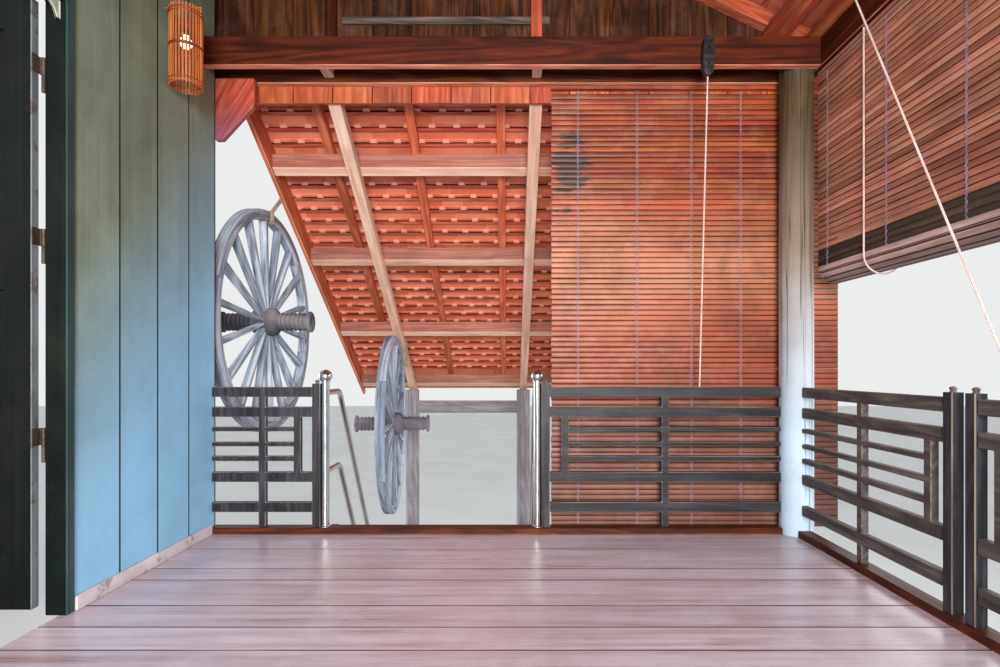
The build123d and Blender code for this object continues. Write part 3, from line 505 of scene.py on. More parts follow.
# finishes: tones from dark to light, and fades as (upper height, lower height, amount, tone)
woodDefaults = {"rough": (0.6, 0.8), "spread": 0.2, "grime": 0.3, "bump": 0.35}
paintDefaults = {"rough": (0.45, 0.65), "scuff": 0.4, "scuffFrom": 0.64, "spread": 0.05, "grime": 0.3}
woods = {
    "oiledWood": {"tones": ((28, 10, 5), (54, 21, 9), (80, 33, 14), (108, 48, 22)), "rough": (0.42, 0.62),
        "spread": 0.22, "grime": 0.45, "grimeTone": (30, 16, 10), "dust": 0.08, "dustTone": (112, 58, 32),
        "shine": 0.2},
    # pale wood for eased edges; on the frame's lower edges and the beams' undersides it is painted light from
    # below
    "oiledEdge": {"tones": ((140, 76, 52), (182, 106, 78), (212, 138, 108), (232, 170, 142)),
        "rough": (0.42, 0.62), "grime": 0.2},
    "gableWood": {"tones": ((26, 12, 5), (58, 29, 13), (88, 49, 25), (120, 76, 46)), "spread": 0.4,
        "grime": 0.7, "grimeTone": (16, 10, 8), "dust": 0.4, "dustTone": (126, 104, 92), "bump": 0.4,
        "shine": 0.2},
    "friezeWood": {"tones": ((112, 40, 14), (158, 62, 24), (184, 84, 40), (204, 124, 86)),
        "rough": (0.5, 0.7), "spread": 0.3, "grime": 0.45, "grimeTone": (96, 56, 46), "dust": 0.3,
        "dustTone": (168, 132, 116)},
    "bracketWood": {"tones": ((134, 52, 30), (174, 74, 42), (200, 98, 62), (216, 130, 96)),
        "rough": (0.4, 0.6), "spread": 0.1, "grimeTone": (60, 36, 54), "bump": 0.3,
        "fades": ((2.58, 2.3, 0.75, (112, 76, 118)),)},
    "floorWood": {"tones": ((160, 132, 134), (190, 174, 184), (206, 196, 208), (218, 212, 228)),
        "rough": (0.26, 0.44), "spread": 0.07, "grimeTone": (136, 100, 90), "grimeSize": 1.7, "dust": 0.45,
        "dustTone": (218, 212, 226), "figure": 0.02, "bump": 0.15, "coat": 0.2},
    "floorSeam": {"tones": ((34, 20, 16), (58, 36, 30), (84, 56, 48), (120, 88, 78)), "rough": (0.4, 0.6),
        "spread": 0.1},
    "postWood": {"tones": ((46, 34, 22), (74, 57, 38), (98, 79, 56), (130, 108, 80)), "rough": (0.6, 0.85),
        "spread": 0.06, "grime": 0.25, "cracks": 0.85, "crackRun": 0.16, "figure": 0.06, "bump": 0.5,
        "shine": 0.25,
        # the fades to pale beige, then pale blue-white lower down, are painted light from the open side;
        # under the floor it fades back to brown-grey
        "fades": ((2.5, 1.5, 0.6, (176, 156, 142)),
                  (1.7, 0.5, 0.95, (190, 211, 228)),
                  (0, -0.6, 0.8, (122, 106, 88)))},
    "paleWood": {"tones": ((176, 128, 106), (212, 168, 144), (230, 192, 170), (240, 214, 198)),
        "spread": 0.1, "grimeTone": (140, 88, 66), "figure": 0.08, "bump": 0.4},
    "purlinWood": {"tones": ((116, 62, 46), (154, 90, 70), (182, 120, 100), (204, 150, 134)),
        "spread": 0.12, "grime": 0.4, "grimeTone": (70, 46, 40), "figure": 0.08, "bump": 0.4},
    "ashWood": {"tones": ((98, 92, 94), (126, 120, 124), (152, 148, 156), (184, 182, 192)), "spread": 0.14,
        "grime": 0.35, "grimeTone": (70, 60, 58), "figure": 0.1, "bump": 0.5},
    "orangeWood": {"tones": ((140, 58, 30), (186, 84, 46), (210, 108, 66), (228, 142, 100)),
        "rough": (0.5, 0.72), "spread": 0.16, "grime": 0.35, "grimeTone": (92, 36, 20)},
    "battenWood": {"tones": ((128, 46, 28), (170, 70, 46), (200, 98, 68), (220, 132, 102)), "spread": 0.25},
    # dark red for the battens' sides and eased edges: painted shade at each course
    "battenShade": {"tones": ((44, 12, 8), (76, 24, 16), (104, 38, 26), (140, 62, 44)), "grime": 0.2,
        "shine": 0.2},
    "railWood": {"tones": ((18, 19, 22), (30, 31, 35), (45, 45, 51), (72, 71, 78)), "rough": (0.4, 0.62),
        "spread": 0.16, "dust": 0.2, "dustTone": (104, 98, 98), "shine": 0.25},
    "sideRailWood": {"tones": ((40, 34, 34), (62, 54, 54), (86, 76, 74), (120, 108, 104)),
        "rough": (0.55, 0.75), "spread": 0.18, "grime": 0.35, "dust": 0.3, "dustTone": (134, 122, 120),
        "bump": 0.4},
    "railEdge": {"tones": ((54, 46, 44), (84, 72, 66), (120, 104, 94), (158, 140, 128)),
        "rough": (0.45, 0.65), "grime": 0.45},
    "greyWood": {"tones": ((84, 91, 104), (130, 142, 160), (172, 182, 196), (212, 217, 222)),
        "rough": (0.75, 0.95), "grime": 0.4, "grimeTone": (52, 48, 46), "cracks": 0.7, "crackRun": 0.4,
        "figure": 0.16, "bump": 0.7, "shine": 0.25},
    "hubWood": {"tones": ((48, 48, 56), (78, 76, 86), (108, 104, 110), (150, 144, 146)),
        "rough": (0.7, 0.9), "spread": 0.4, "grime": 0.4, "grimeTone": (34, 30, 30), "cracks": 0.8,
        "crackRun": 0.4, "figure": 0.2, "bump": 0.8, "shine": 0.3},
    "bambooWood": {"tones": ((90, 28, 7), (140, 53, 14), (168, 77, 29), (200, 124, 78)),
        "rough": (0.42, 0.62), "spread": 0.28, "grime": 0.6, "grimeTone": (70, 38, 26), "grimeSize": 3.6,
        "dust": 0.3, "dustTone": (196, 150, 124), "figure": 0.05, "bump": 0.3,
        "blot": (0.95, (-1.36, 4.14), 0.42),
        "fades": ((2.1, 1.7, 0.55, (200, 136, 102)),
                  (1.6, 1.2, 0.85, (136, 50, 20)),
                  (0.95, 0.7, 0.85, (116, 76, 64)))},
    "bambooDull": {"tones": ((112, 62, 46), (168, 106, 84), (200, 140, 118), (228, 184, 168)),
        "rough": (0.45, 0.65), "spread": 0.3, "grime": 0.4, "grimeTone": (48, 32, 26), "figure": 0.05,
        "bump": 0.3},
    # near-black for the eased edges of the bamboo slats and head rails: painted shade between slats
    "slatSeam": {"tones": ((30, 12, 8), (56, 24, 14), (84, 40, 24), (120, 66, 44)), "spread": 0.3,
        "shine": 0.2},
    "rollWood": {"tones": ((110, 88, 82), (154, 128, 122), (184, 160, 154), (208, 188, 182)),
        "rough": (0.55, 0.75), "spread": 0.34, "grimeTone": (40, 34, 32), "figure": 0.05, "bump": 0.3},
    "rollDark": {"tones": ((34, 28, 24), (54, 46, 40), (74, 64, 56), (104, 92, 82)), "rough": (0.55, 0.75),
        "spread": 0.26, "grimeTone": (24, 20, 18), "figure": 0.05, "bump": 0.3, "shine": 0.3},
    "bambooPale": {"tones": ((150, 72, 26), (196, 104, 46), (222, 138, 74), (238, 178, 116)),
        "rough": (0.38, 0.6), "spread": 0.15, "figure": 0.04, "bump": 0.25},
    "hoopBamboo": {"tones": ((92, 38, 14), (132, 60, 26), (160, 82, 42), (184, 112, 68)),
        "rough": (0.4, 0.6), "spread": 0.1, "bump": 0.25},
}
paints = {
    # the wall paint fades to pale blue lower down, reaching higher towards the stair end: a painted
    # reflection of the sky on the teal paint
    "wallPaint": {"tones": ((100, 116, 96), (122, 139, 119), (146, 160, 142)), "under": (130, 114, 90),
        "spread": 0.06, "grime": 0.2, "tilt": 0.9, "fades": ((2.5, 1.3, 0.95, (138, 193, 228)),)},
    "wallPlain": {"tones": ((98, 116, 104), (118, 136, 124), (138, 154, 142)), "under": (130, 114, 90),
        "scuff": 0.5, "scuffFrom": 0.62, "spread": 0.06, "grime": 0.35, "rough": (0.5, 0.7)},
    # near-black for the wall boards' eased edges: painted shade in the grooves between boards
    "wallGroove": {"tones": ((14, 26, 22), (24, 38, 34), (38, 54, 50)), "under": (40, 34, 26),
        "scuffFrom": 0.62, "spread": 0.08, "grime": 0.4, "rough": (0.65, 0.85), "shine": 0.1},
    "casingPaint": {"tones": ((30, 50, 50), (44, 70, 70), (64, 92, 90)), "under": (96, 76, 56),
        "scuff": 0.6, "scuffFrom": 0.6, "rough": (0.5, 0.7), "shine": 0.25},
    "skirtPaint": {"tones": ((186, 176, 180), (208, 198, 204), (222, 214, 220)), "under": (120, 90, 74),
        "scuff": 0.7, "scuffFrom": 0.57, "grime": 0.35},
    "valancePaint": {"tones": ((150, 160, 146), (180, 186, 170), (206, 208, 190)), "under": (120, 96, 70),
        "scuff": 0.6, "scuffFrom": 0.6, "spread": 0.04},
    # near-black jamb paint: painted shade in the door's reveal
    "jambPaint": {"tones": ((5, 10, 8), (10, 19, 16), (19, 30, 26)), "under": (40, 30, 22), "spread": 0.04,
        "rough": (0.5, 0.7), "shine": 0.12},
    # dark teal door paint taken almost to black: painted shade from the unlit house behind it
    "doorPaint": {"tones": ((5, 8, 7), (10, 15, 14), (20, 29, 30)), "under": (40, 28, 22),
        "rough": (0.34, 0.5), "shine": 0.16},
    # pale grey for the leaf's lit edge: painted highlight, with scuffs of real wear
    "leafEdgePaint": {"tones": ((84, 92, 94), (112, 122, 126), (140, 150, 154)), "under": (96, 74, 56),
        "scuff": 0.8, "scuffFrom": 0.54, "spread": 0.04, "grime": 0.5},
}
metals = {
    "steel": {"tones": ((178, 178, 176), (216, 216, 212)), "rough": (0.12, 0.24), "metal": 1.0, "bump": 0.02},
    "hingeIron": {"tones": ((64, 50, 42), (108, 94, 84)), "rough": (0.5, 0.75), "metal": 0.7, "bump": 0.3},
}
clays = {
    "clay": {"tones": ((190, 84, 52), (214, 110, 74), (230, 136, 102), (242, 168, 140)), "soot": 0.3,
        "sootTone": (150, 76, 54)},
    "clayWeathered": {"tones": ((112, 56, 40), (146, 78, 56), (172, 100, 74), (198, 132, 104)), "soot": 0.7,
        "sootTone": (70, 60, 52)},
}
fibres = {
    "cordFibre": {"tones": ((176, 148, 142), (212, 186, 178), (232, 212, 204))},
    "lashFibre": {"tones": ((122, 108, 88), (164, 150, 124), (196, 184, 158))},
    "stitchFibre": {"tones": ((84, 80, 112), (140, 122, 142), (196, 160, 158))},
}
glasses = {"frostedGlass": {"tones": ((240, 226, 190), (252, 244, 220)), "glow": (255, 236, 196)}}
for maker, looks, defaults in ((woodMaterial, woods, woodDefaults), (paintMaterial, paints, paintDefaults),
                               (metalMaterial, metals, {}), (clayMaterial, clays, {}),
                               (fibreMaterial, fibres, {}), (glassMaterial, glasses, {})):
    for name, look in looks.items():
        maker(name, {**defaults, **look})
print("materials made")


# timbers, straight from the frame's solids
casing = {"valanceFront": wallFace - 0.02, "valanceFoot": floorTop + 2.38}
leafLitEdgeX = -3.66   # the open leaf's edge past this, facing the veranda, is pale: a painted highlight on the lit edge, with scuffed wear
bareStudX = -2.0    # gable studs past this were never oiled


def casingFace(normal, centre, index):
    # the valance over the door, the room side, then the jambs, in near-black paint: painted shade in the
    # door's reveal
    atValance = abs(centre.x - casing["valanceFront"]) < 0.02 and centre.z > casing["valanceFoot"]
    if atValance and abs(normal.x) > 0.5:
        return 2
    return 0 if normal.x > 0.5 else 1


# finishes for the faces and for the eased edges, slot, and what picks a finish for each face
timberLooks = {
    # the pale edge wood on the frame's lower eased edges and on the beams' whole undersides is painted light
    # from below
    "frame": (("oiledWood", "oiledEdge"), "frame_timber", lambda n, c, i: i if n.z < -0.2 else 0),
    "beam": (("oiledWood", "oiledEdge"), "frame_timber",
             lambda n, c, i: 1 if n.z < -0.5 else i if n.z < -0.2 else 0),
    "stud": (("oiledWood", "orangeWood"), "frame_timber", lambda n, c, i: 1 if c.x > bareStudX else 0),
    "bracket": (("bracketWood", "bracketWood"), "frame_timber", None),
    "rafter": (("orangeWood", "orangeWood"), "rafter_timber", None),
    "verge": (("orangeWood", "paleWood"), "rafter_timber", None),
    "pale": (("paleWood", "paleWood"), "pale_timber", None),
    # purlin undersides take the pale wood: painted light on the lit underside
    "purlin": (("purlinWood", "paleWood"), "pale_timber", lambda n, c, i: 1 if n.z < -0.3 else 0),
    "tie": (("ashWood", "paleWood"), "post_timber", lambda n, c, i: 1 if n.z > 0.5 else 0),
    "tread": (("floorWood", "oiledEdge"), "floor_timber", None),
    "rail": (("railWood", "railEdge"), "rail_stain", None),
    "sideRail": (("sideRailWood", "railEdge"), "rail_stain", None),
    "skirting": (("skirtPaint", "skirtPaint"), "skirting_paint", None),
    "casing": (("casingPaint", "jambPaint", "valancePaint"), "casing_paint", casingFace),
    "leaf": (("doorPaint", "leafEdgePaint"), "door_paint",
             lambda n, c, i: 1 if n.x > 0.7 and c.x > leafLitEdgeX else 0),
    "hinge": (("hingeIron", "hingeIron"), "hinge_steel", None),
}
# node, name and look, then the edge and the body where they aren't the usual ones
timbers = (
    ("bearers", "bearerPlanks", "frame"), ("joists", "deckJoists", "frame"),
    ("rim_boards", "rimBoards", "frame"), ("edge_sills", "edgeSills", "frame"),
    ("wall_posts", "wallPosts", "frame"), ("far_beam", "farBeam", "beam"),
    ("inner_beams", "innerBeams", "beam"), ("beam_blocks", "beamBlocks", "pale"),
    ("side_beam", "sideBeam", "frame"), ("side_plates", "sidePlates", "rafter"),
    ("wall_rails", "wallRails", "frame"), ("wall_skirting", "wallSkirting", "skirting"),
    ("wall_bracket", "wallBracket", "bracket"), ("roof_ledger", "roofLedger", "frame"),
    ("roof_rafters", "mainRafters", "rafter"), ("barge_boards", "bargeBoards", "rafter"),
    ("far_rails", "farRails", "rail"), ("near_rail", "nearRail", "rail"),
    ("side_rails", "sideRails", "sideRail"), ("stair_stringers", "stairStringers", "frame"),
    ("stair_treads", "stairTreads", "tread"), ("stair_roof_tie", "porchTie", "tie"),
    ("principal_rafters", "porchPrincipals", "pale"), ("stair_rafters", "porchRafters", "rafter"),
    ("stair_roof_trim", "porchVerges", "verge"), ("frame_hinges", "jambHinges", "hinge", 0.0008),
    ("gable_studs", "gableStuds", "stud"), ("stair_purlins", "porchPurlins", "purlin"),
    ("door_frame", "doorCasing", "casing"), ("door_leaf", "doorLeaf", "leaf", 0.003, "door"),
    ("leaf_hinges", "leafHinges", "hinge", 0.0008, "door"),
)
for node, name, key, *extra in timbers:
    finishes, slot, chooser = timberLooks[key]
    piece = dress(node, name, finishes, slot, *extra)
    if chooser:
        paintFaces(piece, chooser)
print("timbers dressed")


# floor
floorBoards = {"thick": 0.028, "gap": 0.003, "uneven": 0.0006,
               "widths": (0.135, 0.27, 0.31, 0.15, 0.29, 0.2, 0.18, 0.24)}


def makeFloor(look):
    pile, index, y = newPile(), 0, deckHigh.y
    while y > deckLow.y + 0.02:
        width = min(look["widths"][index % len(look["widths"])], y - deckLow.y)
        middle = y - width / 2
        z = floorTop - look["thick"] / 2 + random.uniform(-look["uneven"], 0)
        board(pile, (deckLow.x, middle, z), (deckHigh.x, middle, z), width - look["gap"], look["thick"])
        y -= width
        index += 1
    makePiece(pile, "floorPlanks", ("floorWood", "floorSeam"), "floor_timber", "floor_boards")


makeFloor(floorBoards)


# wall boards
wallBoards = {"pitch": 0.28, "gap": 0.001, "groove": 0.005}


def wallPanel(node, name, look):
    low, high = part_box(node)
    pile = newPile()
    count = max(1, round((high.y - low.y) / look["pitch"]))
    width = (high.y - low.y) / count
    x = (low.x + high.x) / 2
    for index in range(count):
        y = low.y + width * (index + 0.5)
        board(pile, (x, y, low.z), (x, y, high.z), width - look["gap"], high.x - low.x, xAxis, look["groove"])
    # eased edges take the dark groove colour, a painted shade; the backs take the plain paint, without the
    # painted sky reflection
    panel = makePiece(pile, name, ("wallPaint", "wallGroove", "wallPlain"), "wall_paint", node)
    paintFaces(panel, lambda normal, centre, index: 2 if normal.x < -0.9 else index)


wallPanel("wall_far", "wallBoardsFar", wallBoards)
wallPanel("wall_near", "wallBoardsNear", wallBoards)
wallPanel("wall_over_door", "wallBoardsOverDoor", wallBoards)


# gable ends, each board with a redder foot
gableEnds = {"pitch": 0.25, "thick": 0.02, "frieze": 0.16, "uneven": 0.004,
             "batten": (0.02, 0.045), "battenUp": 3.18, "battenX": (-2.79, -1.49)}


def makeGables(look):
    low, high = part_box("gable_boards")
    rafterLow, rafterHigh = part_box("roof_rafters")
    count = round((high.x - low.x) / look["pitch"])
    width = (high.x - low.x) / count
    outline = easedOutline(width, look["thick"], 0.003)
    pile = newPile()

    def underRafters(p):
        fall = rafterDepth / cos(mainPitch) + tan(mainPitch) * (p.x - rafterLow.x)
        return Vector((p.x, p.y, rafterHigh.z - fall - 0.002))

    for y in (high.y - look["thick"], low.y):
        for index in range(count):
            middle = Vector((low.x + width * (index + 0.5), y + look["thick"] / 2, low.z))
            foot, tint = random.uniform(0.0, look["uneven"]), random.random()
            rings = [ringAt(middle + zAxis * z, xAxis, yAxis, outline)
                     for z in (foot, look["frieze"], look["frieze"] + 0.001)]
            loft(pile, rings[:2], tint, mats=(2, 1), capMat=2)
            loft(pile, [rings[2], [underRafters(p) for p in rings[2]]], tint, mats=(0, 1))
    x0, x1 = look["battenX"]
    y, z = high.y - look["thick"] - look["batten"][0] / 2, floorTop + look["battenUp"]
    board(pile, (x0, y, z), (x1, y, z), *look["batten"], mats=(3, 3))
    makePiece(pile, "gableBoards", ("gableWood", "oiledWood", "friezeWood", "railEdge"), "frame_timber",
              "gable_boards")


makeGables(gableEnds)
print("floor, wall and gables boarded")


# round posts: node, name, finish, drop from the box's top, then where each stands, its seed and its tint
poles = {"row": 0.12, "sides": 44, "rough": 0.0022}
posts = (
    ("corner_post", "cornerPost", "postWood", 0, ((0, 0, 3.1, 0.4),)),
    ("side_posts", "sidePosts", "postWood", 0, ((0, 1, 7.7, 0.3), (0, 0, 8.7, 0.6))),
    ("stair_roof_posts", "porchPosts", "ashWood", 0.06, ((0, 0, 12.5, 0.4), (1, 0, 13.5, 0.4))),
)


def poleRings(x, y, top, radius, seed, look):
    # a pole that wanders a little and isn't quite round
    rough = look["rough"]
    rows = round(top / look["row"])
    rings = []
    for z in (top * i / rows for i in range(rows + 1)):
        wander = Vector((noise.noise((seed, z * 0.5, 0)), noise.noise((seed, z * 0.5, 9)), 0))

        def wobble(angle, z=z):
            return rough * (noise.noise((cos(angle) * 1.3 + seed, sin(angle) * 1.3, z * 0.7)) - 0.6)

        middle = Vector((x, y, z)) + wander * rough
        rings.append(roundRing(middle, xAxis, yAxis, radius - rough * 0.7, look["sides"], wobble))
    return rings


for node, name, wood, drop, stands in posts:
    low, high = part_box(node)
    size = high - low
    radius = min(size.xy) / 2
    pile = newPile()
    for east, north, seed, tint in stands:
        x = low.x + radius + (size.x - 2 * radius) * east
        y = low.y + radius + (size.y - 2 * radius) * north
        loft(pile, poleRings(x, y, high.z - drop, radius, seed, poles), tint, smooth=True)
    makePiece(pile, name, (wood,), "post_timber", node)


# tiled roofs
tiling = {"width": 0.178, "length": 0.27, "exposure": 0.125, "thick": 0.011, "tail": 0.03,
          "batten": (0.026, 0.018), "nib": (0.05, 0.022), "depth": 0.055}


def slopeOf(level, pitch):
    # the ways down a roof and out of it; level is the way it falls, seen from above
    return level * cos(pitch) - zAxis * sin(pitch), level * sin(pitch) + zAxis * cos(pitch)


def tileOutline(width, length, tail):
    # flat tile with a rounded tail; north runs up the slope from the tail
    w = width / 2
    return [(-w, tail), (-w * 0.72, tail * 0.3), (-w * 0.3, 0), (w * 0.3, 0),
            (w * 0.72, tail * 0.3), (w, tail), (w, length), (-w, length)]


def layTiles(node, name, level, across, pitch, look):
    # from the upper corner of the node's box, battens on the rafters' backs and tiles hung on them
    low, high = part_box(node)
    top = Vector((low.x, low.y, high.z))
    width, reach = (high - low).dot(across), (high - low).dot(level) / cos(pitch)
    down, out = slopeOf(level, pitch)
    battenWide, battenThick = look["batten"]
    nibWide, nibDeep = look["nib"]
    nib = [(-nibWide / 2, -nibDeep / 2), (nibWide / 2, -nibDeep / 2),
           (nibWide * 0.4, nibDeep / 2), (-nibWide * 0.4, nibDeep / 2)]
    up = -(down + out * 2 * look["thick"] / look["length"]).normalized()
    face = (out - up * out.dot(up)).normalized()
    courses = int((reach - look["length"] * 0.4) / look["exposure"])
    count = round(width / look["width"])
    step = width / count
    battens, tiles = newPile(), newPile()
    for course in range(courses + 1):
        tail = reach + (course - courses) * look["exposure"]
        head = max(tail - look["length"], 0.004)
        seat = head + 0.03
        start = top + down * seat + out * (battenThick / 2 - look["depth"])
        # sides and eased edges take the dark batten colour, a painted shade
        board(battens, start, start + across * width, battenWide, battenThick, out, 0.0015, (0, 1, 1, 1))
        stagger = 0.5 * (course % 2)
        for index in range(count + course % 2):
            left = max(0.0, (index - stagger) * step)
            right = min(width, (index + 1 - stagger) * step)
            middle = top + across * (left + right) / 2
            lift = battenThick + look["thick"] * 1.9 - look["depth"] + random.uniform(0, 0.0012)
            east = (across + up * random.uniform(-0.006, 0.006)).normalized()
            outline = tileOutline(right - left - 0.002, tail - head, look["tail"])
            slab(tiles, outline, middle + down * tail + out * lift, east, up, face, look["thick"],
                 random.triangular(0.05, 0.95), topMat=1)
            hook = middle + down * (seat - (battenWide + nibDeep) / 2 - 0.001) + out * (0.003 - look["depth"])
            # the nibs' tint of 1.1 lifts them past the lightest tiles: painted highlight on the nibs
            slab(tiles, nib, hook, east, -down, out, battenThick, 1.1)
    makePiece(tiles, name, ("clay", "clayWeathered"), "clay_tile", node)
    makePiece(battens, name + "Battens", ("battenWood", "battenShade"), "rafter_timber")


layTiles("roof_tiles", "roofTiles", xAxis, yAxis, mainPitch, tiling)
layTiles("stair_roof_tiles", "porchTiles", yAxis, xAxis, porchPitch, tiling)


# capping along the head of the wall
capping = {"length": 0.32, "width": 0.2, "rise": 0.018, "thick": 0.01, "drop": 0.028, "lap": 1.02}


def makeCapping(look):
    low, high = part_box("ridge_cap")
    down, out = slopeOf(xAxis, mainPitch)
    count = round((high.y - low.y) / look["length"])
    step = (high.y - low.y) / count
    arc = [(0.005 + look["width"] * k / 8, look["rise"] * sin(pi * k / 8)) for k in range(9)]
    outline = arc + [(s, h - look["thick"]) for s, h in reversed(arc)]
    pile = newPile()
    for index in range(count):
        start = Vector((low.x, low.y + step * index, high.z - look["drop"])) + out * 0.002 * (index % 2)
        end = start + yAxis * step * (look["lap"] if index < count - 1 else 1)
        loft(pile, [ringAt(middle, down, out, outline) for middle in (start, end)])
    makePiece(pile, "roofCapping", ("clayWeathered",), "clay_tile", "ridge_cap")


makeCapping(capping)
print("roofs tiled")


# steel handrails
handrail = {"newelX": (-2.858, -1.572), "bendY": 0.285, "rises": (0.85, 0.372), "ballUp": 0.951,
            "newel": 0.024, "flange": 0.036, "rail": 0.018, "ball": 0.04, "bend": 0.05,
            "pitch": radians(55.5), "footHeight": 1.15}


def makeHandrails(look):
    newel, neck = look["newel"], look["ballUp"] - 0.07
    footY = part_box("handrails")[1].y - look["ball"]
    flange = [(0, look["flange"]), (0.006, look["flange"]), (0.008, newel)]
    collar = [(neck - 0.005, newel), (neck - 0.003, newel + 0.004), (neck + 0.004, newel + 0.004),
              (neck + 0.008, 0.012), (neck + 0.03, 0.012)]
    pile = newPile()
    for x in look["newelX"]:
        turned(pile, flange + collar, (x, 0, floorTop + 0.04), zAxis)
        ball(pile, (x, 0, floorTop + look["ballUp"]), look["ball"])
        turned(pile, flange + [(look["footHeight"] - 0.03, newel)], (x, footY, 0), zAxis)
        ball(pile, (x, footY, look["footHeight"]), look["ball"])
        for z in (floorTop + rise for rise in look["rises"]):
            bend = Vector((x, look["bendY"], z))
            foot = Vector((x, footY, z - tan(look["pitch"]) * (footY - look["bendY"])))
            level, fall = yAxis * look["bend"], (foot - bend).normalized() * look["bend"]
            curve = [(bend - level * (1 - s)).lerp(bend + fall * s, s) for s in (k / 8 for k in range(9))]
            tube(pile, [Vector((x, 0, z)), *curve, foot], look["rail"], 20)
    makePiece(pile, "stairHandrails", ("steel",), "polished_steel", "handrails")


makeHandrails(handrail)


# square posts of the balustrade, with turned knobs
railPost = {"width": 0.05, "knobHeight": 0.024,
            "knob": ((0, 0.013), (0.003, 0.013), (0.006, 0.009), (0.01, 0.012), (0.016, 0.0145),
                     (0.021, 0.011), (0.024, 0.003))}


def boxOf(corners):
    return [Vector(edge(corners, axis=0)) for edge in (np.min, np.max)]


def makeRailPosts(look):
    pile = newPile()
    for _, corners in islandsOf(solidsOf("rail_posts")):
        low, high = boxOf(corners)
        x, y, _ = (low + high) / 2
        top = high.z - look["knobHeight"]
        board(pile, (x, y, low.z), (x, y, top), look["width"], look["width"], xAxis, 0.004)
        turned(pile, look["knob"], (x, y, top - 0.0005), zAxis, 24, mats=(1,))
    makePiece(pile, "railPosts", ("railWood", "railEdge"), "rail_stain", "rail_posts")


makeRailPosts(railPost)
print("rails made")


# cart wheels; root and head of a spoke: reach from the axle, depth and width
wheelLook = {"radius": 0.842, "rimDepth": 0.075, "rimWidth": 0.076, "felloes": 6, "spokes": 18,
             "root": (0.07, 0.046, 0.024), "head": (0.772, 0.062, 0.034)}
hubLook = {"nave": 0.107, "naveHalf": 0.085, "shoulder": 0.09216, "barrel": 0.061, "half": 0.35,
           "rings": 6, "ringRise": 0.008, "collar": 0.08, "collarLength": 0.024}
wheels = {"Near": {"middle": Vector((-3.608, 0.927, floorTop + 1.354)), "turn": 4.35, "yaw": 0, "tint": 0.35},
          "Far": {"middle": Vector((-2.858, 2.01, floorTop + 0.467)), "turn": -10, "yaw": 4, "tint": 0.95}}


def hubProfile(look):
    # half of the turned hub, then mirrored
    nave, first, half, collar = look["nave"], look["naveHalf"] + 0.02, look["half"], look["collar"]
    side = [(0.0, nave), (0.05, nave * 0.99), (0.075, nave * 0.95), (first - 0.02, look["shoulder"]),
            (first - 0.01, 0.078), (first, look["barrel"])]
    collarStart = half - look["collarLength"]
    pitch = (collarStart - first - 0.02) / look["rings"]
    waist, crest = look["barrel"] - 0.002, look["barrel"] + look["ringRise"]
    for index in range(look["rings"]):
        start = first + 0.01 + pitch * index
        side += [(start, waist), (start + 0.002, crest - 0.002), (start + pitch / 4, crest),
                 (start + pitch / 2 - 0.002, crest - 0.002), (start + pitch / 2, waist)]
    side += [(collarStart, waist), (collarStart + 0.001, collar - 0.003), (collarStart + 0.005, collar),
             (half - 0.005, collar), (half, collar - 0.005), (half - 0.0015, 0.036),
             (half - 0.02, 0.033), (half - 0.02, 0.004)]
    return [(-s, r) for s, r in reversed(side)] + side[1:]


def makeWheel(name, place, look):
    turnAbout = Matrix.Rotation(radians(place["yaw"]), 3, "Z")
    middle, axle = place["middle"], turnAbout @ xAxis
    rim = easedOutline(look["rimWidth"], look["rimDepth"], 0.006)
    pile = newPile()

    def outwards(degrees):
        angle = radians(degrees + place["turn"])
        return turnAbout @ Vector((0, -sin(angle), cos(angle)))

    for index in range(look["spokes"]):
        out = outwards(360 * index / look["spokes"])
        rings = []
        for share in (0, 0.35, 0.7, 1):
            reach, depth, width = Vector(look["root"]).lerp(look["head"], share)
            outline = easedOutline(depth, width, 0.005)
            rings.append(ringAt(middle + out * reach, axle, out.cross(axle), outline))
        loft(pile, rings)
    for index in range(look["felloes"]):
        start = 360 * index / look["felloes"] + 180 / look["spokes"]
        outs = [outwards(start + (360 / look["felloes"] - 0.3) * k / 16) for k in range(17)]
        reach = look["radius"] - look["rimDepth"] / 2
        loft(pile, [ringAt(middle + out * reach, axle, out, rim) for out in outs])
    makePiece(pile, "cartWheel" + name, ("greyWood",), "weathered_timber", "cart_wheel_" + name.lower())
    turned(hubs, hubProfile(hubLook), middle, axle, 48, place["tint"])


hubs = newPile()
for name, place in wheels.items():
    makeWheel(name, place, wheelLook)
makePiece(hubs, "wheelHubs", ("hubWood",), "weathered_timber", "wheel_hubs")
print("wheels made")


# roll-up blinds: stitches at shares of the width, dark slats just over the roll
blindLook = {"slat": 0.0345, "pitch": 0.033, "thick": 0.006, "uneven": (0.94, 1.03), "sag": 0.0012,
             "head": (0.027, 0.029), "stitches": (0.09, 0.33, 0.55, 0.75, 0.96), "stitch": 0.0021,
             "sway": 0.0065, "back": 0.008, "dark": 0.115, "roll": 0.095, "core": 0.045, "layer": 0.0085,
             "between": 0.1}


def slat(pile, start, end, height, thick, out, mat):
    # one split of bamboo: flat back, rounded face towards out
    up = (end - start).normalized().cross(out).normalized()
    h = height / 2
    outline = [(-h, 0), (h, 0), (h, thick * 0.15), (h * 0.75, thick * 0.75), (h * 0.2, thick),
               (-h * 0.4, thick * 0.95), (-h * 0.85, thick * 0.6), (-h, thick * 0.15)]
    rings = [ringAt(middle, up, out, outline) for middle in (start, end)]
    # the slat's top and bottom edges take material 1, a painted shade between slats
    loft(pile, rings, mats=(mat, 1, 1, mat, mat, mat, 1, 1), capMat=mat)


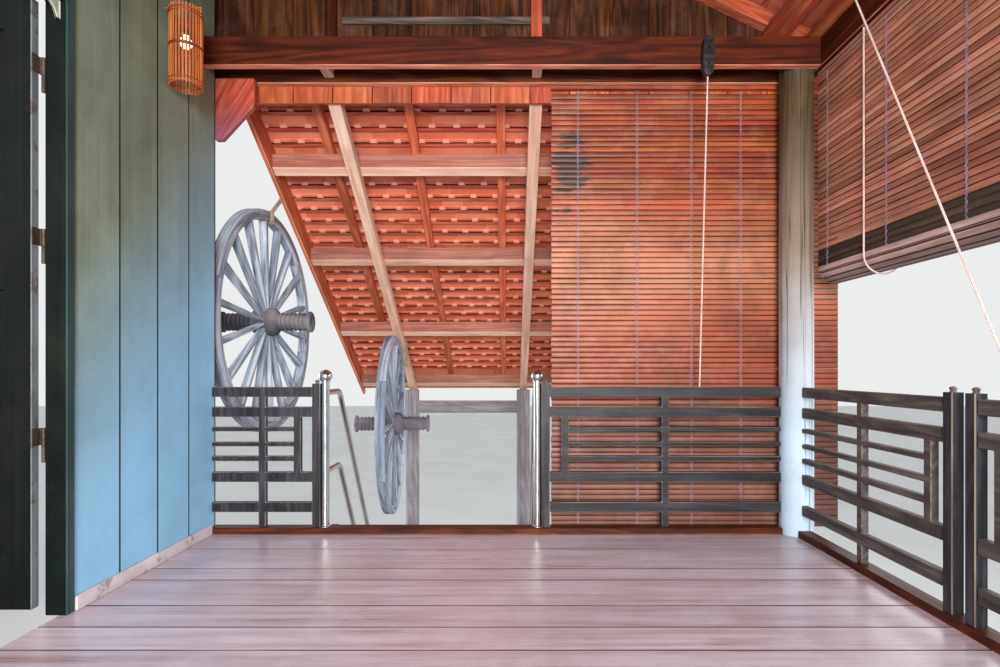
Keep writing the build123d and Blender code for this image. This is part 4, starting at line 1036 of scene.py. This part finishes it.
def hangSlats(pile, look, start, end, out, z, top, ragged=0.0, darkTo=0.0):
    # slats from z up to the head rail; start and end are the line of their backs, at height 0
    while z < top - 0.04:
        sag = random.uniform(-look["sag"], look["sag"])
        short = random.uniform(0, ragged) if ragged else 0
        height = look["slat"] * random.uniform(*look["uneven"])
        slat(pile, start + Vector((short, 0, z + sag)), end + zAxis * (z - sag), height, look["thick"], out,
             3 if z < darkTo else 0)
        z += look["pitch"]
    rail = zAxis * (top - 0.015) - out * (look["head"][0] / 2 - look["back"])
    board(pile, start + rail, end + rail, *look["head"], edge=0.004)


def stitchLine(pile, look, foot, top, across, out):
    # two threads that cross between the slats
    count = ceil((top - 0.03 - foot.z) / look["pitch"] * 2)
    for side in (-1, 1):
        base = foot - out * (0.0022 + 0.0006 * side)
        sway = across * look["sway"] * side
        points = [base + zAxis * look["pitch"] / 2 * k + (sway if k % 2 else -sway) for k in range(count)]
        tube(pile, points, look["stitch"], 5)


def makeFarBlind(look):
    low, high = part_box("far_blind")
    pile, ties = newPile(), newPile()
    start, end = (Vector((x, low.y + look["back"], 0)) for x in (low.x, high.x))
    hangSlats(pile, look, start, end, -yAxis, low.z + look["slat"] / 2, high.z, ragged=0.006)
    for share in look["stitches"]:
        foot = Vector((low.x + (high.x - low.x) * 0.86 * share + 0.03, low.y + 0.001, low.z + 0.004))
        stitchLine(ties, look, foot, high.z, xAxis, -yAxis)
    makePiece(pile, "farBlind", ("bambooWood", "slatSeam"), "bamboo", "far_blind")
    makePiece(ties, "farBlindStitches", ("stitchFibre",), "rope")


def makeSideBlinds(look):
    low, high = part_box("side_blinds")
    length = (high.y - low.y - look["between"]) / 2
    roll = Vector((high.x - look["roll"], 0, low.z + look["roll"]))
    pile, ties = newPile(), newPile()
    for y in (low.y, high.y - length):
        start = Vector((low.x + look["back"], y, 0))
        hangSlats(pile, look, start, start + yAxis * length, -xAxis, roll.z + 0.03, high.z,
                  darkTo=roll.z + look["dark"])
        turn, radius = pi, look["roll"] - look["thick"]
        while radius > look["core"]:
            out = xAxis * cos(turn) + zAxis * sin(turn)
            spot = roll + out * radius
            slip = random.uniform(-0.012, 0.0)
            slat(pile, spot + yAxis * (y - slip), spot + yAxis * (y + length + slip), look["slat"],
                 look["thick"], out, 2)
            step = look["pitch"] / radius
            turn -= step
            radius -= look["layer"] * step / (2 * pi)
        for share in look["stitches"]:
            stitchLine(ties, look, Vector((low.x + 0.001, y + length * share, roll.z)), high.z, yAxis, -xAxis)
    makePiece(pile, "sideBlinds", ("bambooDull", "slatSeam", "rollWood", "rollDark"), "bamboo", "side_blinds")
    makePiece(ties, "sideBlindStitches", ("stitchFibre",), "rope")


makeFarBlind(blindLook)
makeSideBlinds(blindLook)


# pulley and cords
pulley = {"sides": 28, "square": 0.7, "edge": 0.004, "pins": (0.35, -0.45),
          "pin": ((0, 0.012), (0.003, 0.012), (0.005, 0.006))}
cordLook = {"radius": 0.005, "straight": (((-0.592, -0.155, 4.589), (-0.592, -0.013, 2.786)),
                                          ((-0.0943, -0.63, 4.9), (-0.013, -1.53, 2.7907))),
            "slingY": (-0.5, -2.05, -3.05, -4.6), "slingUp": 2.77, "roll": (0.198, 3.49, 0.1003),
            "beam": (0.1357, 4.73)}


def makePulley(look):
    low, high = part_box("blind_pulley")
    middle = (low + high) / 2
    halfWide, halfHigh = (high - low).xz / 2
    outline = []
    for angle in (2 * pi * k / look["sides"] for k in range(look["sides"])):
        c, s = cos(angle), sin(angle)
        outline.append((copysign(abs(c) ** look["square"], c) * halfWide,
                        copysign(abs(s) ** look["square"], s) * halfHigh))
    pile, rings = newPile(), []
    for y, share in ((low.y, 0.9), (low.y + look["edge"], 1), (high.y - look["edge"], 1), (high.y, 0.92)):
        rings.append(ringAt(Vector((middle.x, y, middle.z)), xAxis * share, zAxis * share, outline))
    loft(pile, rings, smooth=True)
    for share in look["pins"]:
        spot = (middle.x, low.y + 0.005, middle.z + halfHigh * share)
        turned(pile, look["pin"], spot, -yAxis, 20, mats=(1,))
    makePiece(pile, "blindPulley", ("railWood", "hingeIron"), "rail_stain", "blind_pulley")


def makeCords(look):
    # two straight cords, then the slings from the beam round the roll
    pile = newPile()
    for ends in look["straight"]:
        rope(pile, ends, look["radius"])
    rollX, rollZ, reach = look["roll"]
    endX, endZ = look["beam"]
    run, rise = rollX - endX, endZ - rollZ
    turn = asin(reach / hypot(run, rise)) + atan2(run, rise)
    angles = [pi + (pi + turn) * k / 24 for k in range(25)]
    for y in look["slingY"]:
        arc = [(rollX + cos(angle) * reach, y, rollZ + sin(angle) * reach) for angle in angles]
        rope(pile, [(rollX - reach, y, floorTop + look["slingUp"]), *arc, (endX, y, endZ)], look["radius"])
    makePiece(pile, "blindCords", ("cordFibre",), "rope", "blind_ropes")


makePulley(pulley)
makeCords(cordLook)


# rope round the rims of the wheels
lashings = {"radius": 0.0052, "turns": 5, "lay": 0.03}


def makeLashings(look):
    half = look["radius"] + 0.0004
    rimTop = wheels["Near"]["middle"].z + wheelLook["radius"]
    rimSide = wheels["Near"]["middle"].x + wheelLook["rimWidth"] / 2
    pile = newPile()
    for _, corners in islandsOf(solidsOf("wheel_lashings")):
        low, high = boxOf(corners)
        for share in (k / (look["turns"] - 1) for k in range(look["turns"])):
            y = low.y + half + (high.y - low.y - 2 * half) * share
            if low.y > 1.5:
                # the far wheel's goes round the rim and a principal rafter, along the roof's slope
                face = [c.z for c in corners if abs(c.y - high.y) < 1e-4]
                fall = tan(porchPitch) * (high.y - y)
                x, foot, top = high.x - half, min(face) + half + fall, max(face) - half + fall
            else:
                # the near wheel's goes round the rim, with a leg up to the roof
                x, foot, top = rimSide + half, rimTop - wheelLook["rimDepth"] - 0.004 - half, rimTop + half
                legX = high.x - half
                bend = (legX, y, top + (legX - x) * 1.35)
                rope(pile, [(x, y, top), bend, (legX, y, high.z)], look["radius"], lay=look["lay"])
            back = low.x + half
            loop = [(back, y, foot), (x, y, foot), (x, y, top), (back, y, top), (back, y, foot)]
            rope(pile, loop, look["radius"], lay=look["lay"])
    makePiece(pile, "wheelLashings", ("lashFibre",), "rope", "wheel_lashings")


makeLashings(lashings)
print("blinds and cords made")


# lantern: outlines of a strip and of a hoop, and where the hoops sit over its foot
lanternLook = {"strips": 30, "uneven": 0.004, "hoops": (0.012, 0.03, 0.2, 0.208, 0.37, 0.385), "arm": 0.014,
               "strip": ((-0.0042, -0.001), (0.0042, -0.001), (0.0042, 0.001), (0, 0.0026), (-0.0042, 0.001)),
               "hoop": ((-0.001, -0.003), (0.0014, -0.003), (0.003, 0), (0.0014, 0.003), (-0.001, 0.003))}
bulbLook = {"glass": ((0.002, 0.4), (0.008, 0.72), (0.02, 0.96), (0.03, 1), (0.042, 0.93), (0.054, 0.7),
                      (0.064, 0.5), (0.07, 0.45)),
            "socket": ((0.068, 0.0145), (0.07, 0.016), (0.095, 0.016), (0.1, 0.012), (0.102, 0.006))}


def around(count):
    return [Matrix.Rotation(2 * pi * k / count, 3, "Z") @ xAxis for k in range(count)]


def makeLantern(look):
    low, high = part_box("wall_lantern")
    radius = (high.y - low.y) / 2
    foot = Vector((high.x - radius, low.y + radius, low.z))
    height = high.z - low.z - look["arm"]
    pile = newPile()
    for out in around(look["strips"]):
        lift = random.uniform(0, look["uneven"])
        rings = []
        for z, pull in ((lift, 0.001), (lift + 0.1, 0), (lift + 0.3, 0), (height, 0.001)):
            middle = foot + zAxis * z + out * (radius - 0.006 - pull)
            rings.append(ringAt(middle, zAxis.cross(out), out, look["strip"]))
        loft(pile, rings)
    for z in look["hoops"]:
        for reach in (radius - 0.0032, radius - 0.0085):
            rings = [ringAt(foot + zAxis * z + out * reach, out, zAxis, look["hoop"]) for out in around(48)]
            loft(pile, rings, loop=True, mats=(1,))
    z = high.z - look["arm"] / 2
    board(pile, (low.x, foot.y, z), (high.x, foot.y, z), look["arm"], look["arm"])
    makePiece(pile, "wallLantern", ("bambooPale", "hoopBamboo"), "bamboo", "wall_lantern")


def makeBulb(look):
    low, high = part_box("lantern_bulb")
    radius = (high.x - low.x) / 2
    x, y, _ = (low + high) / 2
    glass = [(0, 0.001)] + [(z, radius * share) for z, share in look["glass"]]
    pile = newPile()
    turned(pile, glass, (x, y, low.z), zAxis, 32)
    turned(pile, look["socket"], (x, y, low.z), zAxis, 24, mats=(1,))
    rope(pile, [(x, y, low.z + 0.1), (x, y, high.z)], 0.0028, strands=2, lay=0.02)
    makePiece(pile, "lanternBulb", ("frostedGlass", "hingeIron"), "bulb_glass", "lantern_bulb")


makeLantern(lanternLook)
makeBulb(bulbLook)
print("lantern made")


# ground, light and camera
stage = {"half": 40.0, "tones": ((186, 187, 186), (196, 197, 196)), "rough": 0.9,
         "sky": (0.96, 0.98, 1.0, 1), "shown": srgb(236, 238, 238)}
# name, place, target, size and power; the narrow spread keeps them off the ground
lampSpread = radians(110)
lamps = (
    ("openSideLamp", (9.5, -1.2, 6.0), (-2.5, 0.2, 2.6), 6.0, 240),
    ("roomLamp", (-1.6, -6.4, 3.7), (-1.8, 0, 3.2), 2.6, 265),
    ("houseSideLamp", (-9.5, 2.6, 3.4), (-2.2, 1.8, 4.0), 5.0, 140),
    ("stairLamp", (6.0, 7.0, 7.5), (-2.6, 1.2, 2.6), 5.0, 80),
)
# lens and shift that put the photograph's vanishing point where it is
camera = {"place": (-1.75, -3.46, 2.9), "lens": 20.52, "shift": (-0.008, 0.0345)}


def makeGround(look):
    r = look["half"]
    mesh = bpy.data.meshes.new("ground")
    mesh.from_pydata([(-r, -r, 0), (r, -r, 0), (r, r, 0), (-r, r, 0)], [], [(0, 1, 2, 3)])
    tree, shader, place = startMaterial("studioFloor")
    colour = ramp(tree, noiseAt(tree, place, 0.6, 3.0), (0.3, 0.7), look["tones"])
    tree.links.new(colour, shader.inputs["Base Color"])
    shader.inputs["Roughness"].default_value = look["rough"]
    mesh.materials.append(finish["studioFloor"])
    addObject("ground", mesh)


def makeLamp(name, place, target, size, power):
    lamp = bpy.data.lights.new(name, "AREA")
    lamp.shape = "DISK"
    lamp.size = size
    lamp.energy = power
    lamp.spread = lampSpread
    holder = addObject(name, lamp)
    holder.location = place
    holder.rotation_euler = (Vector(target) - Vector(place)).to_track_quat("-Z", "Y").to_euler()
    holder.visible_camera = False


def makeWorld(look):
    # a white sky that lights, and a greyer one that the camera sees
    world = bpy.data.worlds.new("studio")
    bpy.context.scene.world = world
    world.use_nodes = True
    tree = world.node_tree
    tree.nodes.clear()
    rays = wire(tree, "ShaderNodeLightPath").outputs
    seen = mathNode(tree, "MAXIMUM", rays["Is Glossy Ray"], rays["Is Transmission Ray"])
    seen = mathNode(tree, "MAXIMUM", rays["Is Camera Ray"], seen)
    lit = wire(tree, "ShaderNodeBackground", {"Color": look["sky"]}).outputs[0]
    shown = wire(tree, "ShaderNodeBackground", {"Color": look["shown"]}).outputs[0]
    mixed = wire(tree, "ShaderNodeMixShader", {0: seen, 1: lit, 2: shown}).outputs[0]
    wire(tree, "ShaderNodeOutputWorld", {"Surface": mixed})


def makeCamera(look):
    data = bpy.data.cameras.new("camera")
    data.sensor_width, data.lens = 36.0, look["lens"]
    data.shift_x, data.shift_y = look["shift"]
    data.clip_start, data.clip_end = 0.05, 200
    holder = addObject("camera", data)
    holder.location = look["place"]
    holder.rotation_euler = (radians(90), 0, 0)
    bpy.context.scene.camera = holder


makeGround(stage)
makeWorld(stage)
for lamp in lamps:
    makeLamp(*lamp)
makeCamera(camera)
bpy.context.scene.view_settings.view_transform = "Standard"
print("scene ready")
